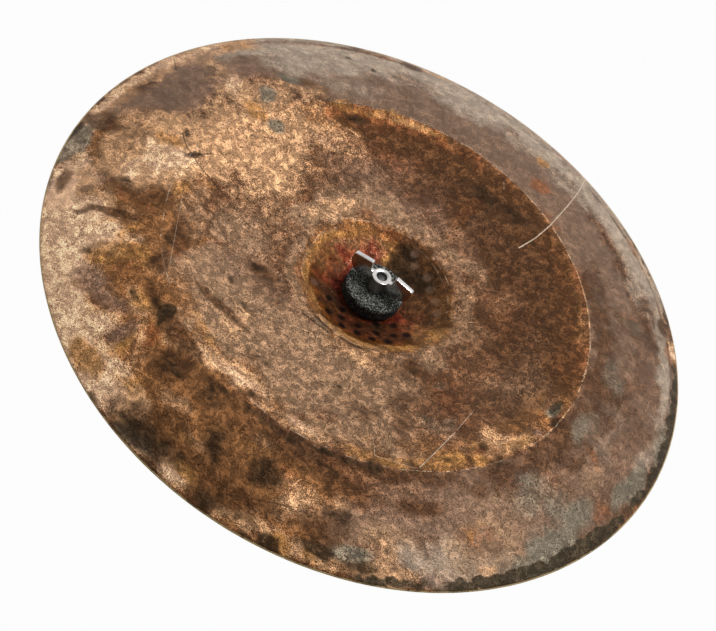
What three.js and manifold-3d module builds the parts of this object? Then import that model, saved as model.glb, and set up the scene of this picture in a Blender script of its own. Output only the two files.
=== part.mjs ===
// China cymbal on its rod, mounted bell down. Millimetres, +Z up along the cymbal's axis,
// origin at the centre of the rod's flat foot, wing nut's wings along X at rest.
import * as THREE from "three";
import { mergeVertices } from "three/addons/utils/BufferGeometryUtils.js";
import Module from "manifold-3d";

const wasm = await Module();
wasm.setup();

// Driving dimensions

// Cymbal: heights are above the plane of the rim's upper edge
const rimRadius = 203.2;
const foldRadius = 135.7;
const foldHeight = 16.9;
const creaseRadius = 49.7;
const creaseHeight = 8.1;
const bellDepth = 13.4;
const holeRadius = 6.35;
const bellThickness = 1.3;
const foldThickness = 1.0;
const rimThickness = 0.8;
const creaseBlend = 4;
const foldBlend = 1.6;
const bowStartSlope = THREE.MathUtils.degToRad(2);
const flangeStartSlope = THREE.MathUtils.degToRad(-4);

// Rod: crest is the outside of its thread, core is the bottom of it
const rodCrestRadius = 4;
const rodCoreRadius = 3.1;
const rodFreeLength = 22;
const rodChamfer = 0.9;
const rodTipRecess = 1.2;

// Rings on the rod
const seatNutFlats = 13;
const seatNutHeight = 6.5;
const seatNutChamfer = 0.8;
const sleeveRadius = 5.25;
const sleeveFlangeRadius = 10;
const sleeveFlangeHeight = 2;
const sleeveChamfer = 0.5;
const washerRadius = 20.4;
const washerThickness = 1.5;
const washerLipHeight = 2.5;
const washerLipWidth = 1.2;
const feltRadius = 18.7;
const feltRounding = 1.2;
const lowerFeltThickness = 10;
const upperFeltThickness = 11.3;

// Wing nut: rises and drops are from the top of its hub
const hubRadius = 6.05;
const hubNeckRadius = 5.5;
const hubBaseRadius = 6.4;
const hubHeight = 10.3;
const hubCollarHeight = 2;
const earRadius = 7.3;
const earDrop = 0.2;
const wingThickness = 3;
const wingReach = 21.5;
const wingTopStart = 8.3;
const wingTopEnd = 21;
const wingInnerRise = 6.6;
const wingOuterRise = 4.8;
const wingOuterDrop = 2.5;
const wingFootRadius = 17;
const wingFootDrop = 8;
const wingRounding = 1.5;
const wingRootDrop = 9.3;

// Clearances: touching pieces, rod in its bores, sleeve in what it passes, thread core in the wing nut
const touchGap = 0.3;
const rodGap = 0.3;
const sleeveGap = 0.35;
const threadGap = 0.25;
const screwPitch = 1.25;
const tightenTurns = 1;
const cutOverrun = 1;

// Facets round each kind of piece
const sheetFacets = 72;
const ringFacets = 36;
const rodFacets = 24;

// Derived places

const seatNutTop = rodFreeLength + seatNutHeight;
const flangeBottom = seatNutTop + touchGap;
const flangeTop = flangeBottom + sleeveFlangeHeight;
const washerBottom = flangeTop + touchGap;
const washerTop = washerBottom + washerThickness;
const lowerFeltBottom = washerTop + touchGap;
const bellUnderside = lowerFeltBottom + lowerFeltThickness + touchGap;
const bellFloor = bellUnderside + bellThickness;
const rimPlane = bellFloor + bellDepth - creaseHeight;
const upperFeltTop = bellFloor + touchGap + upperFeltThickness;
const hubBase = upperFeltTop + touchGap;
const hubTop = hubBase + hubHeight;
const rodTip = hubTop - rodTipRecess;
const tightenTravel = tightenTurns * screwPitch;
const threadStart = hubBase - tightenTravel - touchGap;
const sleeveTop = threadStart - touchGap;
const rodBoreRadius = rodCrestRadius + rodGap;
const sleeveBoreRadius = sleeveRadius + sleeveGap;
const wingNutBoreRadius = rodCoreRadius + threadGap;

// The bell is a bowl cut from a sphere that passes through its floor and the crease
const bowlRadius = (creaseRadius ** 2 + bellDepth ** 2) / (2 * bellDepth);
const bowlCentre = bellFloor + bowlRadius;
const bowlHeightAt = (r, offset) => bowlCentre - Math.sqrt((bowlRadius + offset) ** 2 - r ** 2);

const point = (r, z) => new THREE.Vector2(r, z);

// Turns an outline in (radius, height) about the Z axis; the outline runs with the metal on its left
function turned(outline, facets) {
  const geometry = new THREE.LatheGeometry(outline, facets);
  geometry.rotateX(Math.PI / 2);
  return geometry;
}

function closed(outline) {
  return [...outline, outline[0].clone()];
}

function toSolid(geometry) {
  const bare = geometry.clone();
  bare.deleteAttribute("normal");
  bare.deleteAttribute("uv");
  const merged = mergeVertices(bare);
  const vertProperties = new Float32Array(merged.attributes.position.array);
  const triVerts = new Uint32Array(merged.index.array);
  return new wasm.Manifold(new wasm.Mesh({ numProp: 3, vertProperties, triVerts }));
}

function toGeometry(solid) {
  const mesh = solid.getMesh();
  const geometry = new THREE.BufferGeometry();
  geometry.setAttribute("position", new THREE.BufferAttribute(mesh.vertProperties, 3));
  geometry.setIndex(new THREE.BufferAttribute(mesh.triVerts, 1));
  return geometry;
}

// A circular arc that leaves one point at a given slope and ends at another
function arcBetween(from, to, startSlope) {
  const chordSlope = Math.atan2(to.y - from.y, to.x - from.x);
  const endSlope = 2 * chordSlope - startSlope;
  const radius = (to.x - from.x) / (Math.sin(endSlope) - Math.sin(startSlope));
  const at = (slope) => {
    const across = radius * (Math.sin(slope) - Math.sin(startSlope));
    const up = radius * (Math.cos(startSlope) - Math.cos(slope));
    return point(from.x + across, from.y + up);
  };
  return { startSlope, endSlope, radius, at };
}

// Points along an arc, leaving out a length at each of its ends
function stretchOf(arc, skipStart, skipEnd, steps) {
  const first = arc.startSlope + skipStart / arc.radius;
  const last = arc.endSlope - skipEnd / arc.radius;
  return Array.from({ length: steps + 1 }, (_, i) => arc.at(first + ((last - first) * i) / steps));
}

// The points between two stretches, bent round the corner where their arcs would meet
function bendRound(before, corner, after, steps) {
  const curve = new THREE.QuadraticBezierCurve(before.at(-1), corner, after[0]);
  return curve.getPoints(steps).slice(1, -1);
}

function sheetThicknessAt(r) {
  const { clamp, lerp } = THREE.MathUtils;
  if (r < foldRadius) {
    const share = clamp((r - creaseRadius) / (foldRadius - creaseRadius), 0, 1);
    return lerp(bellThickness, foldThickness, share);
  }
  const share = clamp((r - foldRadius) / (rimRadius - foldRadius), 0, 1);
  return lerp(foldThickness, rimThickness, share);
}

// The upper face from the hole to the rim: bell, crease, bow, fold and flange
function cymbalUpperFace() {
  const floor = point(0, bellFloor);
  const crease = point(creaseRadius, bellFloor + bellDepth);
  const fold = point(foldRadius, rimPlane + foldHeight);
  const rim = point(rimRadius, rimPlane);
  const holeArc = bowlRadius * Math.asin(holeRadius / bowlRadius);
  const bell = stretchOf(arcBetween(floor, crease, 0), holeArc, creaseBlend, 5);
  const bow = stretchOf(arcBetween(crease, fold, bowStartSlope), creaseBlend, foldBlend, 6);
  const flange = stretchOf(arcBetween(fold, rim, flangeStartSlope), foldBlend, 0, 8);
  const creaseBend = bendRound(bell, crease, bow, 3);
  const foldBend = bendRound(bow, fold, flange, 2);
  return [...bell, ...creaseBend, ...bow, ...foldBend, ...flange];
}

function cymbalGeometry() {
  const upper = cymbalUpperFace();
  const lower = upper.map((p, i) => {
    const before = upper[Math.max(i - 1, 0)];
    const after = upper[Math.min(i + 1, upper.length - 1)];
    const along = after.clone().sub(before).normalize();
    const thickness = sheetThicknessAt(p.x);
    return point(p.x + along.y * thickness, p.y - along.x * thickness);
  });
  return turned(closed([...lower, ...upper.reverse()]), sheetFacets);
}

// A felt ring: its outer corners are rounded, and the face on the bell follows the bell's bowl
function feltGeometry(lowerFace, upperFace) {
  const side = feltRadius;
  const inner = side - feltRounding;
  const faceRadii = [0, 0.5, 1].map((share) => sleeveBoreRadius + (inner - sleeveBoreRadius) * share);
  const bottom = faceRadii.map((r) => point(r, lowerFace(r)));
  const top = faceRadii.map((r) => point(r, upperFace(r))).reverse();
  const wall = [
    point(side, lowerFace(side) + feltRounding),
    point(side, upperFace(side) - feltRounding),
  ];
  const lowBend = bendRound(bottom, point(side, lowerFace(side)), wall, 3);
  const highBend = bendRound(wall, point(side, upperFace(side)), top, 3);
  return turned(closed([...bottom, ...lowBend, ...wall, ...highBend, ...top]), ringFacets);
}

function lowerFeltGeometry() {
  const flat = () => lowerFeltBottom;
  return feltGeometry(flat, (r) => bowlHeightAt(r, bellThickness + touchGap));
}

function upperFeltGeometry() {
  const flat = () => upperFeltTop;
  return feltGeometry((r) => bowlHeightAt(r, -touchGap), flat);
}

// The rod is full size up to the wing nut and cut down to its thread's core where that nut runs
function rodGeometry() {
  const outline = [
    point(0, 0),
    point(rodCrestRadius - rodChamfer, 0),
    point(rodCrestRadius, rodChamfer),
    point(rodCrestRadius, threadStart - (rodCrestRadius - rodCoreRadius)),
    point(rodCoreRadius, threadStart),
    point(rodCoreRadius, rodTip - rodChamfer),
    point(rodCoreRadius - rodChamfer, rodTip),
    point(0, rodTip),
  ];
  return turned(outline, rodFacets);
}

function sleeveGeometry() {
  const outline = [
    point(rodBoreRadius, flangeBottom),
    point(sleeveFlangeRadius, flangeBottom),
    point(sleeveFlangeRadius, flangeTop - sleeveChamfer),
    point(sleeveFlangeRadius - sleeveChamfer, flangeTop),
    point(sleeveRadius, flangeTop),
    point(sleeveRadius, sleeveTop - sleeveChamfer),
    point(sleeveRadius - sleeveChamfer, sleeveTop),
    point(rodBoreRadius, sleeveTop),
  ];
  return turned(closed(outline), rodFacets);
}

// A pressed cup: a flat ring with a lip that keeps the felt centred
function cupWasherGeometry() {
  const lipInner = washerRadius - washerLipWidth;
  const outline = [
    point(sleeveBoreRadius, washerBottom),
    point(washerRadius - washerThickness, washerBottom),
    point(washerRadius, washerBottom + washerThickness),
    point(washerRadius, washerTop + washerLipHeight),
    point(lipInner, washerTop + washerLipHeight),
    point(lipInner, washerTop),
    point(sleeveBoreRadius, washerTop),
  ];
  return turned(closed(outline), ringFacets);
}

// A hexagon whose corners are taken off by a cone at each end
function seatNutGeometry() {
  const cornerRadius = seatNutFlats / 2 / Math.cos(Math.PI / 6);
  const hexagon = new THREE.Shape();
  for (let i = 0; i < 6; i += 1) {
    const angle = (i * Math.PI) / 3;
    hexagon[i ? "lineTo" : "moveTo"](cornerRadius * Math.cos(angle), cornerRadius * Math.sin(angle));
  }
  const bore = new THREE.Path().absarc(0, 0, rodBoreRadius, 0, 2 * Math.PI, true);
  hexagon.holes.push(bore);
  const upright = { depth: seatNutHeight, bevelEnabled: false, curveSegments: rodFacets };
  const prism = new THREE.ExtrudeGeometry(hexagon, upright);
  prism.translate(0, 0, rodFreeLength);
  const blank = turned(
    [
      point(0, rodFreeLength),
      point(cornerRadius - seatNutChamfer, rodFreeLength),
      point(cornerRadius, rodFreeLength + seatNutChamfer / 2),
      point(cornerRadius, seatNutTop - seatNutChamfer / 2),
      point(cornerRadius - seatNutChamfer, seatNutTop),
      point(0, seatNutTop),
    ],
    ringFacets,
  );
  return toGeometry(toSolid(prism).intersect(toSolid(blank)));
}

// A closed outline whose corners are rounded where a rounding is given
function roundedShape(corners) {
  const shape = new THREE.Shape();
  const count = corners.length;
  corners.forEach(({ at, rounding }, i) => {
    const before = corners[(i + count - 1) % count].at;
    const after = corners[(i + 1) % count].at;
    const start = at.clone().add(before.clone().sub(at).setLength(rounding));
    const end = at.clone().add(after.clone().sub(at).setLength(rounding));
    shape[i ? "lineTo" : "moveTo"](start.x, start.y);
    if (rounding > 0) shape.quadraticCurveTo(at.x, at.y, end.x, end.y);
  });
  return shape;
}

function wingGeometry() {
  const root = (wingNutBoreRadius + hubNeckRadius) / 2;
  const corners = [
    { at: point(root, -wingRootDrop), rounding: 0 },
    { at: point(hubNeckRadius, -wingRootDrop), rounding: 0 },
    { at: point(wingFootRadius, -wingFootDrop), rounding: wingRounding },
    { at: point(wingReach, -wingOuterDrop), rounding: wingRounding },
    { at: point(wingTopEnd, wingOuterRise), rounding: wingRounding },
    { at: point(wingTopStart, wingInnerRise), rounding: wingRounding },
    { at: point(earRadius, -earDrop), rounding: 0 },
    { at: point(root, -earDrop), rounding: 0 },
  ];
  const plate = { depth: wingThickness, bevelEnabled: false, curveSegments: 3 };
  const wing = new THREE.ExtrudeGeometry(roundedShape(corners), plate);
  wing.translate(0, 0, -wingThickness / 2);
  wing.rotateX(Math.PI / 2);
  wing.translate(0, 0, hubTop);
  return wing;
}

function wingNutGeometry() {
  const hub = turned(
    [
      point(0, hubBase),
      point(hubBaseRadius, hubBase),
      point(hubNeckRadius, hubTop - hubCollarHeight),
      point(hubRadius, hubTop - hubCollarHeight / 2),
      point(hubRadius, hubTop),
      point(0, hubTop),
    ],
    ringFacets,
  );
  const bore = turned(
    [
      point(0, hubBase - cutOverrun),
      point(wingNutBoreRadius, hubBase - cutOverrun),
      point(wingNutBoreRadius, hubTop + cutOverrun),
      point(0, hubTop + cutOverrun),
    ],
    rodFacets,
  );
  const wing = toSolid(wingGeometry());
  const oppositeWing = toSolid(wingGeometry().rotateZ(Math.PI));
  return toGeometry(toSolid(hub).add(wing).add(oppositeWing).subtract(toSolid(bore)));
}

const metal = (color, roughness) => new THREE.MeshStandardMaterial({ color, roughness, metalness: 1 });
const soft = (color, roughness) => new THREE.MeshStandardMaterial({ color, roughness, metalness: 0 });

const bronze = metal(0x9a7452, 0.5);
const brightSteel = metal(0xd8d8d6, 0.22);
const dullSteel = metal(0xa9abad, 0.35);
const darkFelt = soft(0x2b2c2b, 0.95);
const nylon = soft(0x1c1c1c, 0.55);

const cymbalOnRod = new THREE.Group();

function addPiece(name, geometry, material) {
  const mesh = new THREE.Mesh(geometry, material);
  mesh.name = name;
  cymbalOnRod.add(mesh);
}

addPiece("rod", rodGeometry(), dullSteel);
addPiece("seat_nut", seatNutGeometry(), dullSteel);
addPiece("sleeve", sleeveGeometry(), nylon);
addPiece("cup_washer", cupWasherGeometry(), dullSteel);
addPiece("lower_felt", lowerFeltGeometry(), darkFelt);
addPiece("cymbal", cymbalGeometry(), bronze);
addPiece("upper_felt", upperFeltGeometry(), darkFelt);
addPiece("wing_nut", wingNutGeometry(), brightSteel);

export default cymbalOnRod;
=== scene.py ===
import math

import bpy
import numpy as np
from mathutils import Matrix, Vector


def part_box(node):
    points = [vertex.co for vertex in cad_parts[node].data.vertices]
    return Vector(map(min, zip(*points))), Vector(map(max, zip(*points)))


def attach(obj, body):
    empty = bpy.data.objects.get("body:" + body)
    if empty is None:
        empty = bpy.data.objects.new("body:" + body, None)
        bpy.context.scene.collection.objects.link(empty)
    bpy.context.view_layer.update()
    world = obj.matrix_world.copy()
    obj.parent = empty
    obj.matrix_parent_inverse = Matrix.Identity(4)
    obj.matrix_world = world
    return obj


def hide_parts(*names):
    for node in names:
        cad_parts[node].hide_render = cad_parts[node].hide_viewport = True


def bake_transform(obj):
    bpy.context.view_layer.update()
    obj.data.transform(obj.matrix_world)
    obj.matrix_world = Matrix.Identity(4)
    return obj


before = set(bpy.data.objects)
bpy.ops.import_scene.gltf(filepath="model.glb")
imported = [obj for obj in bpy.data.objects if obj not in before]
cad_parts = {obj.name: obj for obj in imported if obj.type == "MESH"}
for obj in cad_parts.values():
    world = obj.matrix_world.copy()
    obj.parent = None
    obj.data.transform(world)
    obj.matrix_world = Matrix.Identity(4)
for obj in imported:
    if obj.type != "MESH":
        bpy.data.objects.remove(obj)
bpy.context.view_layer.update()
mm = 0.001
print("frame loaded:", ", ".join(sorted(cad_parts)))


# Shared helpers

def addObject(name, mesh):
    obj = bpy.data.objects.new(name, mesh)
    bpy.context.scene.collection.objects.link(obj)
    return obj


def meshFrom(name, points, faces, smooth=True):
    mesh = bpy.data.meshes.new(name)
    mesh.from_pydata([tuple(p) for p in points], [], [tuple(f) for f in faces])
    mesh.update()
    if smooth:
        mesh.shade_smooth()
    return mesh


# Turns a closed outline of (radius, height) about Z; the outline runs with the solid on its right
def turnedParts(outline, segments):
    rings = np.array(outline, float)
    turn = np.linspace(0, 2 * math.pi, segments, endpoint=False)
    x = np.outer(rings[:, 0], np.cos(turn))
    y = np.outer(rings[:, 0], np.sin(turn))
    z = np.repeat(rings[:, 1:2], segments, axis=1)
    points = np.stack([x, y, z], -1).reshape(-1, 3)
    count = len(rings)
    a, b = np.meshgrid(np.arange(count), np.arange(segments), indexing="ij")
    nextA, nextB = (a + 1) % count, (b + 1) % segments
    corners = [a * segments + b, nextA * segments + b, nextA * segments + nextB, a * segments + nextB]
    alongAxis = (rings[:, 0] == 0) & (np.roll(rings[:, 0], -1) == 0)
    return points, np.stack(corners, -1)[~alongAxis].reshape(-1, 4).tolist()


def turnedMesh(name, outline, segments):
    return meshFrom(name, *turnedParts(outline, segments))


# Corners are (first, second, rounding); a rounded one becomes a short curve
def roundedOutline(corners, steps=5):
    outline = []
    count = len(corners)
    for k, (r, z, rounding) in enumerate(corners):
        here = Vector((r, z))
        if not rounding:
            outline.append((r, z))
            continue
        before = Vector(corners[k - 1][:2]) - here
        after = Vector(corners[(k + 1) % count][:2]) - here
        start = here + before.normalized() * rounding
        end = here + after.normalized() * rounding
        for s in np.linspace(0, 1, steps + 1):
            at = start * (1 - s) ** 2 + here * 2 * s * (1 - s) + end * s * s
            outline.append((at.x, at.y))
    return outline


# Adds points so that no step of the closed outline is longer than the given one
def refined(outline, step):
    fine = []
    for k, here in enumerate(outline):
        there = outline[(k + 1) % len(outline)]
        count = max(1, math.ceil(math.dist(here, there) / step))
        for s in range(count):
            share = s / count
            fine.append((here[0] + (there[0] - here[0]) * share, here[1] + (there[1] - here[1]) * share))
    return fine


def joined(name, *parts):
    points, faces = [], []
    for partPoints, partFaces in parts:
        shift = len(points)
        points.extend(map(tuple, partPoints))
        faces.extend([[shift + i for i in face] for face in partFaces])
    return meshFrom(name, points, faces)


# Runs a geometry nodes group on the object and leaves the result as its plain mesh
def growShape(obj, group, values):
    modifier = obj.modifiers.new(group.name, "NODES")
    modifier.node_group = group
    for item in group.interface.items_tree:
        if item.in_out == "INPUT" and item.name in values:
            modifier[item.identifier] = values[item.name]
    graph = bpy.context.evaluated_depsgraph_get()
    mesh = bpy.data.meshes.new_from_object(obj.evaluated_get(graph), depsgraph=graph)
    mesh.materials.clear()
    mesh.materials.append(values["finish"])
    mesh.polygons.foreach_set("material_index", np.zeros(len(mesh.polygons), dtype=np.int32))
    obj.modifiers.clear()
    old = obj.data
    obj.data = mesh
    bpy.data.meshes.remove(old)
    mesh.name = obj.name


def finishPiece(obj, node, body):
    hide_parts(node)
    if body:
        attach(obj, body)
    print("%s: %d faces" % (obj.name, len(obj.data.polygons)))


def setAttribute(mesh, name, values):
    layer = mesh.attributes.new(name, "FLOAT", "POINT")
    layer.data.foreach_set("value", np.asarray(values, np.float32))


def placesOf(mesh):
    flat = np.zeros(len(mesh.vertices) * 3)
    mesh.vertices.foreach_get("co", flat)
    return flat.reshape(-1, 3)


def smoothStep(low, high, value):
    t = np.clip((value - low) / (high - low), 0, 1)
    return t * t * (3 - 2 * t)


# A soft random field from 0 to 1 whose patches are about one size across
def cloud(x, y, size, seed):
    cells = 128
    lattice = np.random.default_rng(seed).random((cells, cells))
    u, v = x / size + cells / 2, y / size + cells / 2
    i, j = np.floor(u).astype(int), np.floor(v).astype(int)
    s, t = smoothStep(0, 1, u - i), smoothStep(0, 1, v - j)
    corner = lambda a, b: lattice[(i + a) % cells, (j + b) % cells]
    low = corner(0, 0) * (1 - s) + corner(1, 0) * s
    high = corner(0, 1) * (1 - s) + corner(1, 1) * s
    return low * (1 - t) + high * t


def clouds(x, y, size, seed):
    turned = (x * 0.8 - y * 0.6, x * 0.6 + y * 0.8)
    big = cloud(x, y, size, seed)
    middle = cloud(*turned, size * 0.47, seed + 50)
    small = cloud(y, x, size * 0.21, seed + 90)
    return (big * 4 + middle * 2.4 + small * 1.4) / 7.8


# A short way to write shader and geometry node trees: values may be numbers or sockets
class Tree:
    def __init__(self, tree):
        self.tree = tree
        self.links = tree.links

    def node(self, kind, inputs=None, **settings):
        made = self.tree.nodes.new(kind)
        for key, value in settings.items():
            setattr(made, key, value)
        for key, value in (inputs or {}).items():
            self.feed(made.inputs[key], value)
        return made

    def feed(self, socket, value):
        if isinstance(value, bpy.types.NodeSocket):
            self.links.new(value, socket)
        else:
            socket.default_value = value

    def math(self, operation, a, b=0.0, clamp=False):
        return self.node("ShaderNodeMath", {0: a, 1: b}, operation=operation, use_clamp=clamp).outputs[0]

    def chain(self, operation, values):
        result = values[0]
        for value in values[1:]:
            result = self.math(operation, result, value)
        return result

    def total(self, *values):
        return self.chain("ADD", values)

    def product(self, *values):
        return self.chain("MULTIPLY", values)

    def largest(self, *values):
        return self.chain("MAXIMUM", values)

    def less(self, a, b, clamp=False):
        return self.math("SUBTRACT", a, b, clamp)

    def apart(self, a, b):
        return self.math("ABSOLUTE", self.less(a, b))

    def vector(self, x=0.0, y=0.0, z=0.0):
        return self.node("ShaderNodeCombineXYZ", {0: x, 1: y, 2: z}).outputs[0]

    def partsOf(self, vector):
        return self.node("ShaderNodeSeparateXYZ", {0: vector}).outputs

    def mapRange(self, value, low, high, toLow=0.0, toHigh=1.0, kind="SMOOTHSTEP"):
        made = self.node("ShaderNodeMapRange", {0: value, 1: low, 2: high, 3: toLow, 4: toHigh},
                         interpolation_type=kind, clamp=True)
        return made.outputs[0]

    def mixColour(self, factor, a, b):
        return self.node("ShaderNodeMix", {0: factor, 6: a, 7: b}, data_type="RGBA").outputs[2]

    def scaled(self, vector, factor):
        return self.node("ShaderNodeVectorMath", {0: vector, "Scale": factor}, operation="SCALE").outputs[0]

    def sizeOf(self, vector):
        return self.node("ShaderNodeVectorMath", {0: vector}, operation="LENGTH").outputs["Value"]

    def distances(self, place, scale):
        return self.node("ShaderNodeTexVoronoi", {"Vector": place, "Scale": scale}).outputs["Distance"]

    def noise(self, place, scale, detail=4.0, rough=0.55, distortion=0.0):
        made = self.node("ShaderNodeTexNoise", {"Vector": place, "Scale": scale, "Detail": detail,
                                                "Roughness": rough, "Distortion": distortion})
        return made.outputs[0]

    def attribute(self, name):
        return self.node("ShaderNodeAttribute", attribute_name=name).outputs["Fac"]

    def place(self, shift=(0, 0, 0), scale=(1, 1, 1)):
        coordinates = self.node("ShaderNodeTexCoord").outputs["Object"]
        mapped = self.node("ShaderNodeMapping", {"Vector": coordinates, "Location": shift, "Scale": scale})
        return mapped.outputs[0]


def rgb(r, g, b):
    return (r, g, b, 1.0)


def newMaterial(name):
    material = bpy.data.materials.new(name)
    material.use_nodes = True
    material.node_tree.nodes.clear()
    tree = Tree(material.node_tree)
    shader = tree.node("ShaderNodeBsdfPrincipled")
    output = tree.node("ShaderNodeOutputMaterial")
    tree.links.new(shader.outputs[0], output.inputs[0])
    return material, tree, shader


def newShaderGroup(name, inputs, outputs):
    group = bpy.data.node_groups.new(name, "ShaderNodeTree")
    for title, kind in inputs:
        group.interface.new_socket(title, in_out="INPUT", socket_type="NodeSocket" + kind)
    for title, kind in outputs:
        group.interface.new_socket(title, in_out="OUTPUT", socket_type="NodeSocket" + kind)
    tree = Tree(group)
    return group, tree, tree.node("NodeGroupInput").outputs, tree.node("NodeGroupOutput").inputs


def useGroup(tree, group, inputs):
    made = tree.node("ShaderNodeGroup", node_tree=group)
    for key, value in inputs.items():
        tree.feed(made.inputs[key], value)
    return made.outputs


# A geometry nodes group with the named number inputs, and a finish that it sets at its end
def newShapeGroup(name, inputs):
    group = bpy.data.node_groups.new(name, "GeometryNodeTree")
    group.interface.new_socket("Geometry", in_out="INPUT", socket_type="NodeSocketGeometry")
    for title in inputs:
        group.interface.new_socket(title, in_out="INPUT", socket_type="NodeSocketFloat")
    group.interface.new_socket("finish", in_out="INPUT", socket_type="NodeSocketMaterial")
    group.interface.new_socket("Geometry", in_out="OUTPUT", socket_type="NodeSocketGeometry")
    tree = Tree(group)
    return group, tree, tree.node("NodeGroupInput").outputs, tree.node("NodeGroupOutput").inputs


def endShapeGroup(tree, geometry, given, result):
    real = tree.node("GeometryNodeRealizeInstances", {0: geometry})
    finished = tree.node("GeometryNodeSetMaterial", {0: real.outputs[0], "Material": given["finish"]})
    tree.links.new(finished.outputs[0], result[0])


# Camera at the photograph's place

cameraView = {
    "distance": 1300 * mm,
    "elevation": math.radians(47.81),
    "azimuth": math.radians(7.0),
    "roll": math.radians(30.91),
    "aimRight": 8.53 * mm,
    "aimUp": 13.57 * mm,
    "focalPixels": 2167.8,
    "picturePixels": 716,
    "sensorWidth": 36.0,
    "farthest": 60,
}


def addCamera(view, target):
    e, a, roll = view["elevation"], view["azimuth"], view["roll"]
    back = Vector((math.sin(a) * math.cos(e), -math.cos(a) * math.cos(e), math.sin(e)))
    level = Vector((math.cos(a), math.sin(a), 0))
    up = back.cross(level)
    right = level * math.cos(roll) + up * math.sin(roll)
    top = up * math.cos(roll) - level * math.sin(roll)
    data = bpy.data.cameras.new("camera")
    data.sensor_width = view["sensorWidth"]
    data.lens = view["sensorWidth"] * view["focalPixels"] / view["picturePixels"]
    data.clip_end = view["farthest"]
    camera = bpy.data.objects.new("camera", data)
    place = target + back * view["distance"] - right * view["aimRight"] - top * view["aimUp"]
    turn = Matrix((right, top, back)).transposed().to_4x4()
    camera.matrix_world = Matrix.Translation(place) @ turn
    bpy.context.scene.collection.objects.link(camera)
    bpy.context.scene.camera = camera


# Studio: pale floor well below the cymbal, soft light from above the camera, white beyond

studio = {
    "floorDrop": 0.75,
    "floorSize": 30.0,
    "floorColour": rgb(0.93, 0.93, 0.93),
    "floorRoughness": 0.9,
    "floorGlow": 0.94,
    "lamps": [
        {"name": "topLight", "power": 19.0, "size": 0.5, "place": (0.42, 0.62, 1.75)},
        {"name": "nearFill", "power": 1.5, "size": 1.2, "place": (-0.7, -1.4, 1.3)},
    ],
    "skyLow": 1.0,
    "skyHigh": 0.55,
    "overhead": (0.72, 0.92),
    "nearShade": 0.18,
    "nearSide": (-0.6, 0.1),
    "skyStrength": 0.76,
}


def addStudio(s, target):
    half = s["floorSize"] / 2
    corners = [(-half, -half), (half, -half), (half, half), (-half, half)]
    points = [(x, y, -s["floorDrop"]) for x, y in corners]
    floor = addObject("floor", meshFrom("floor", points, [(0, 1, 2, 3)], smooth=False))
    material, tree, shader = newMaterial("paleFloor")
    shader.inputs["Base Color"].default_value = s["floorColour"]
    shader.inputs["Roughness"].default_value = s["floorRoughness"]
    path = tree.node("ShaderNodeLightPath").outputs
    seen = tree.largest(*(path["Is %s Ray" % kind] for kind in ("Camera", "Glossy", "Transmission")))
    glow = tree.node("ShaderNodeEmission", {"Color": rgb(1, 1, 1), "Strength": 1.0})
    share = tree.product(seen, s["floorGlow"])
    mixed = tree.node("ShaderNodeMixShader", {0: share, 1: shader.outputs[0], 2: glow.outputs[0]})
    output = next(n for n in tree.tree.nodes if n.bl_idname == "ShaderNodeOutputMaterial")
    tree.links.new(mixed.outputs[0], output.inputs[0])
    floor.data.materials.append(material)
    for lamp in s["lamps"]:
        data = bpy.data.lights.new(lamp["name"], "AREA")
        data.energy = lamp["power"]
        data.size = lamp["size"]
        obj = bpy.data.objects.new(lamp["name"], data)
        obj.location = Vector(lamp["place"]) + target
        obj.rotation_euler = Vector(lamp["place"]).to_track_quat("Z", "Y").to_euler()
        bpy.context.scene.collection.objects.link(obj)
    addSky(s)


# White to the camera; on the object it is bright low down behind it and dimmer overhead and in front
def addSky(s):
    world = bpy.data.worlds.new("studioSky")
    bpy.context.scene.world = world
    world.use_nodes = True
    world.node_tree.nodes.clear()
    tree = Tree(world.node_tree)
    direction = tree.partsOf(tree.node("ShaderNodeTexCoord").outputs["Generated"])
    height = tree.mapRange(direction[2], *s["overhead"], s["skyLow"], s["skyHigh"])
    nearSide = tree.mapRange(direction[1], *s["nearSide"], s["nearShade"], 1.0)
    light = tree.product(height, nearSide, s["skyStrength"])
    camera = tree.node("ShaderNodeLightPath").outputs["Is Camera Ray"]
    strength = tree.node("ShaderNodeMix", {0: camera, 2: light, 3: 1.0})
    background = tree.node("ShaderNodeBackground", {"Color": rgb(1, 1, 1), "Strength": strength.outputs[0]})
    output = tree.node("ShaderNodeOutputWorld")
    tree.links.new(background.outputs[0], output.inputs[0])


# Cymbal

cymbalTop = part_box("cymbal")[1]
cymbal = {
    "rimRadius": cymbalTop.x,
    "foldRadius": 135.7 * mm,
    "foldHeight": 16.9 * mm,
    "foldSink": 0.13 * mm,
    "creaseRadius": 49.7 * mm,
    "creaseHeight": 8.1 * mm,
    "bellDepth": 13.4 * mm,
    "holeRadius": 6.35 * mm,
    "bellThickness": 1.3 * mm,
    "foldThickness": 1.0 * mm,
    "rimThickness": 0.8 * mm,
    "creaseBlend": 4 * mm,
    "foldBlend": 1.6 * mm,
    "bowStartSlope": math.radians(2),
    "flangeStartSlope": math.radians(-4),
    "segments": 550,
    "topSteps": (38, 44, 36),
    "underSteps": (12, 12, 12),
    "creaseBendSteps": 6,
    "foldBendSteps": 5,
}
cymbal["rimPlane"] = cymbalTop.z - cymbal["foldHeight"] + cymbal["foldSink"]


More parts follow.
